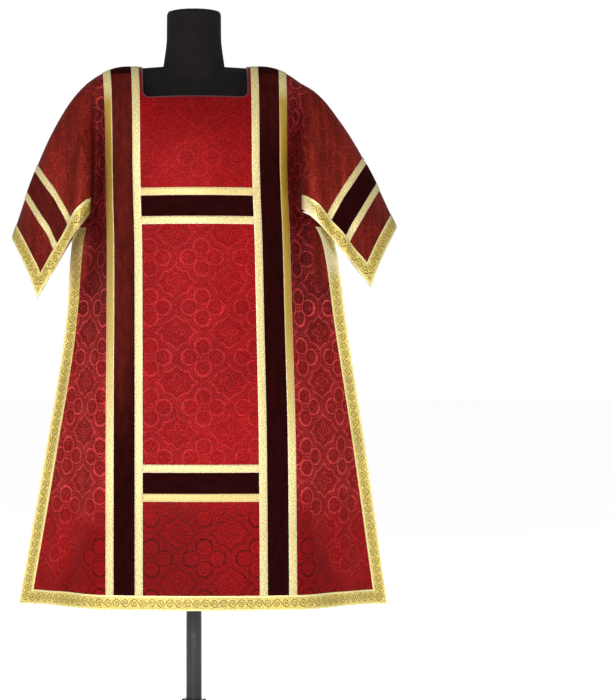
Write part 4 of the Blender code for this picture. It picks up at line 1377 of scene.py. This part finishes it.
def make_jersey(name):
    """Black knit stretched over a form, with fine upright ribs."""
    made = Finish(name, (150, 145, 145), Specular_IOR_Level=0.08, Sheen_Weight=0.05,
                  Sheen_Roughness=0.5)
    rib = (made.u * 1000).folded(0.7)
    course = (made.v * 1000 + rib * 0.8).folded(0.5)
    fluff = made.noise(240.0, 3.0)
    made.start(rib.ramp(0.0, 0.6), (14, 12, 12), (28, 24, 24))
    made.shade(fluff.ramp(0.2, 0.8, 0.75, 1.25))
    made.shade(made.noise(12.0).ramp(0.3, 0.7, 0.85, 1.15))
    return made.finish(fluff.ramp(0.0, 1.0, 0.75, 0.95),
                       rib * 0.12 + course * 0.06 + fluff * 0.08, 0.5)


def make_paint(name):
    """Black satin powder coat with a fine orange peel and scuffs."""
    made = Finish(name, Metallic=0.0, Specular_IOR_Level=0.5)
    peel = made.noise(420.0, source=made.position)
    scuff = made.noise(26.0, 5.0, source=made.position)
    made.start(scuff.ramp(0.58, 0.72), (36, 36, 38), (64, 63, 64))
    made.shade(peel.ramp(0.2, 0.8, 0.9, 1.1))
    return made.finish(scuff.ramp(0.3, 0.7, 0.34, 0.52), peel * 0.05, 0.4)


def make_floor(name):
    """Pale and matt.  It glows a little, so that it is as white as the sky behind it."""
    made = Finish(name, Specular_IOR_Level=0.1, Emission_Color=(1, 1, 1, 1),
                  Emission_Strength=FLOOR_GLOW)
    grain = made.noise(3.0, 3.0, source=made.position)
    made.start(grain, (244, 244, 244), (250, 250, 250))
    return made.finish(grain.ramp(0.0, 1.0, 0.75, 0.9))


FINISHES = {
    "brocade": make_brocade("brocade"),
    "brocade_reverse": make_brocade("brocade_reverse", reverse=True),
    "velvet": make_velvet("velvet"),
    "galloon": make_galloon("galloon"),
    "narrow_braid": make_narrow_braid("narrow_braid"),
    "piping": make_piping("piping"),
    "jersey": make_jersey("jersey"),
    "stand": make_paint("stand"),
}


# ---------------------------------------------------------------- the object

def keep(piece, node, slot):
    """The piece stands for its CAD node.  slot is not used."""
    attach(piece, "root")
    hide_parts(node)
    return piece


def build_form():
    """The jersey-covered form, finer than its solid, and its pole and base."""
    shoulder = TORSO[-1][0]
    torso = [row[0] for row in TORSO]
    neck = [row[0] for row in NECK if row[0] > shoulder + JOIN_STEP]
    heights = [*fine(torso, FORM_STEP), shoulder + JOIN_STEP, *fine(neck, FORM_STEP)]
    form = ring_solid("dress_form", lambda i, angles: form_radius(heights[i], angles), heights,
                      "jersey")
    radii, levels = zip(*BASE_PROFILE)
    foot = ring_solid("stand_base", lambda i, angles: radii[i], levels, "stand")
    ends = (levels[-1] + GAP, torso[0] - GAP)
    pole = ring_solid("stand_pole", lambda i, angles: POLE_RADIUS,
                      np.linspace(*ends, POLE_RINGS).tolist(), "stand")
    keep(form, "form_torso", "jersey")
    keep(foot, "form_base", "stand")
    keep(pole, "form_pole", "stand")
    return form


def build_cloth(part, node, rests_on):
    """A brocade piece and all that is sewn on it.  The cut is stated as a sheet."""
    cloth = keep(part.cloth(), node, "brocade")
    sewn = [keep(*made) for made in part.trims()]
    width, length, area = part.grid.cut()
    print(f"sheet {cloth.name}: {width:.3f} x {length:.3f} m, {area:.3f} m2")


def build_garment(form):
    panels = {side: Panel(side) for side in FACING}
    for side, panel in panels.items():
        build_cloth(panel, f"{side}_panel", form.name)
    keep(neck_piping(panels), "neck_piping", "piping")
    for hand in HANDS:
        build_cloth(Sleeve(hand), f"sleeve_{hand}", "front_panel_cloth")


# ---------------------------------------------------------------- camera, light and floor

LENS_SENSOR = 36.0
VIEW_DISTANCE = 4.5
VIEW_HEIGHT = 1.568
VIEW_MIDDLE = (0.02, 0.8435)
VIEW_SHIFT = 0.148
SKY = 0.35
FLOOR_RADIUS = 30
FLOOR_SIDES = 96
FLOOR_DROP = 0.0005
# The name, place, target, size and power of each lamp, in metres and watts
LAMPS = (
    ("key", (-0.6, -4.4, 1.5), (0.0, 0.0, 1.0), 1.3, 112.0),
    ("side", (-3.2, -2.6, 2.0), (0.0, 0.0, 1.0), 1.0, 28.0),
    ("fill", (3.2, -2.6, 1.2), (0.0, 0.0, 0.8), 1.6, 18.0),
    ("back", (0.6, 4.4, 1.7), (0.0, 0.0, 1.0), 1.3, 120.0),
)


def add_camera():
    data = bpy.data.cameras.new("camera")
    data.sensor_width = LENS_SENSOR
    data.lens = LENS_SENSOR * VIEW_DISTANCE / VIEW_HEIGHT
    data.shift_x = VIEW_SHIFT
    data.dof.use_dof = False
    camera = bpy.data.objects.new("camera", data)
    camera.location = (VIEW_MIDDLE[0], -VIEW_DISTANCE, VIEW_MIDDLE[1])
    camera.rotation_euler = (math.pi / 2, 0, 0)
    bpy.context.scene.collection.objects.link(camera)
    bpy.context.scene.camera = camera


def add_light(name, place, target, size, power):
    data = bpy.data.lights.new(name, "AREA")
    data.shape = "DISK"
    data.size = size
    data.energy = power
    light = bpy.data.objects.new(name, data)
    light.location = place
    direction = Vector(target) - Vector(place)
    light.rotation_euler = direction.to_track_quat("-Z", "Y").to_euler()
    bpy.context.scene.collection.objects.link(light)


def add_surroundings():
    """A plain pale floor, a white sky that lights softly, and studio lamps."""
    bpy.ops.mesh.primitive_circle_add(vertices=FLOOR_SIDES, radius=FLOOR_RADIUS, fill_type="NGON")
    floor = bpy.context.object
    floor.name = "floor"
    floor.location = (0, 0, -FLOOR_DROP)
    floor.data.materials.append(make_floor("floor"))
    world = bpy.data.worlds.new("studio")
    bpy.context.scene.world = world
    world.use_nodes = True
    tree = world.node_tree
    choice = tree.nodes.new("ShaderNodeMixShader")
    seen = tree.nodes.new("ShaderNodeLightPath")
    tree.links.new(seen.outputs["Is Camera Ray"], choice.inputs[0])
    soft = tree.nodes["Background"]
    bright = tree.nodes.new("ShaderNodeBackground")
    for place, sky, strength in ((1, soft, SKY), (2, bright, 1.0)):
        sky.inputs["Color"].default_value = (1, 1, 1, 1)
        sky.inputs["Strength"].default_value = strength
        tree.links.new(sky.outputs[0], choice.inputs[place])
    tree.links.new(choice.outputs[0], tree.nodes["World Output"].inputs[0])
    for lamp in LAMPS:
        add_light(*lamp)
    bpy.context.scene.view_settings.view_transform = "Standard"


add_camera()
add_surroundings()
build_garment(build_form())
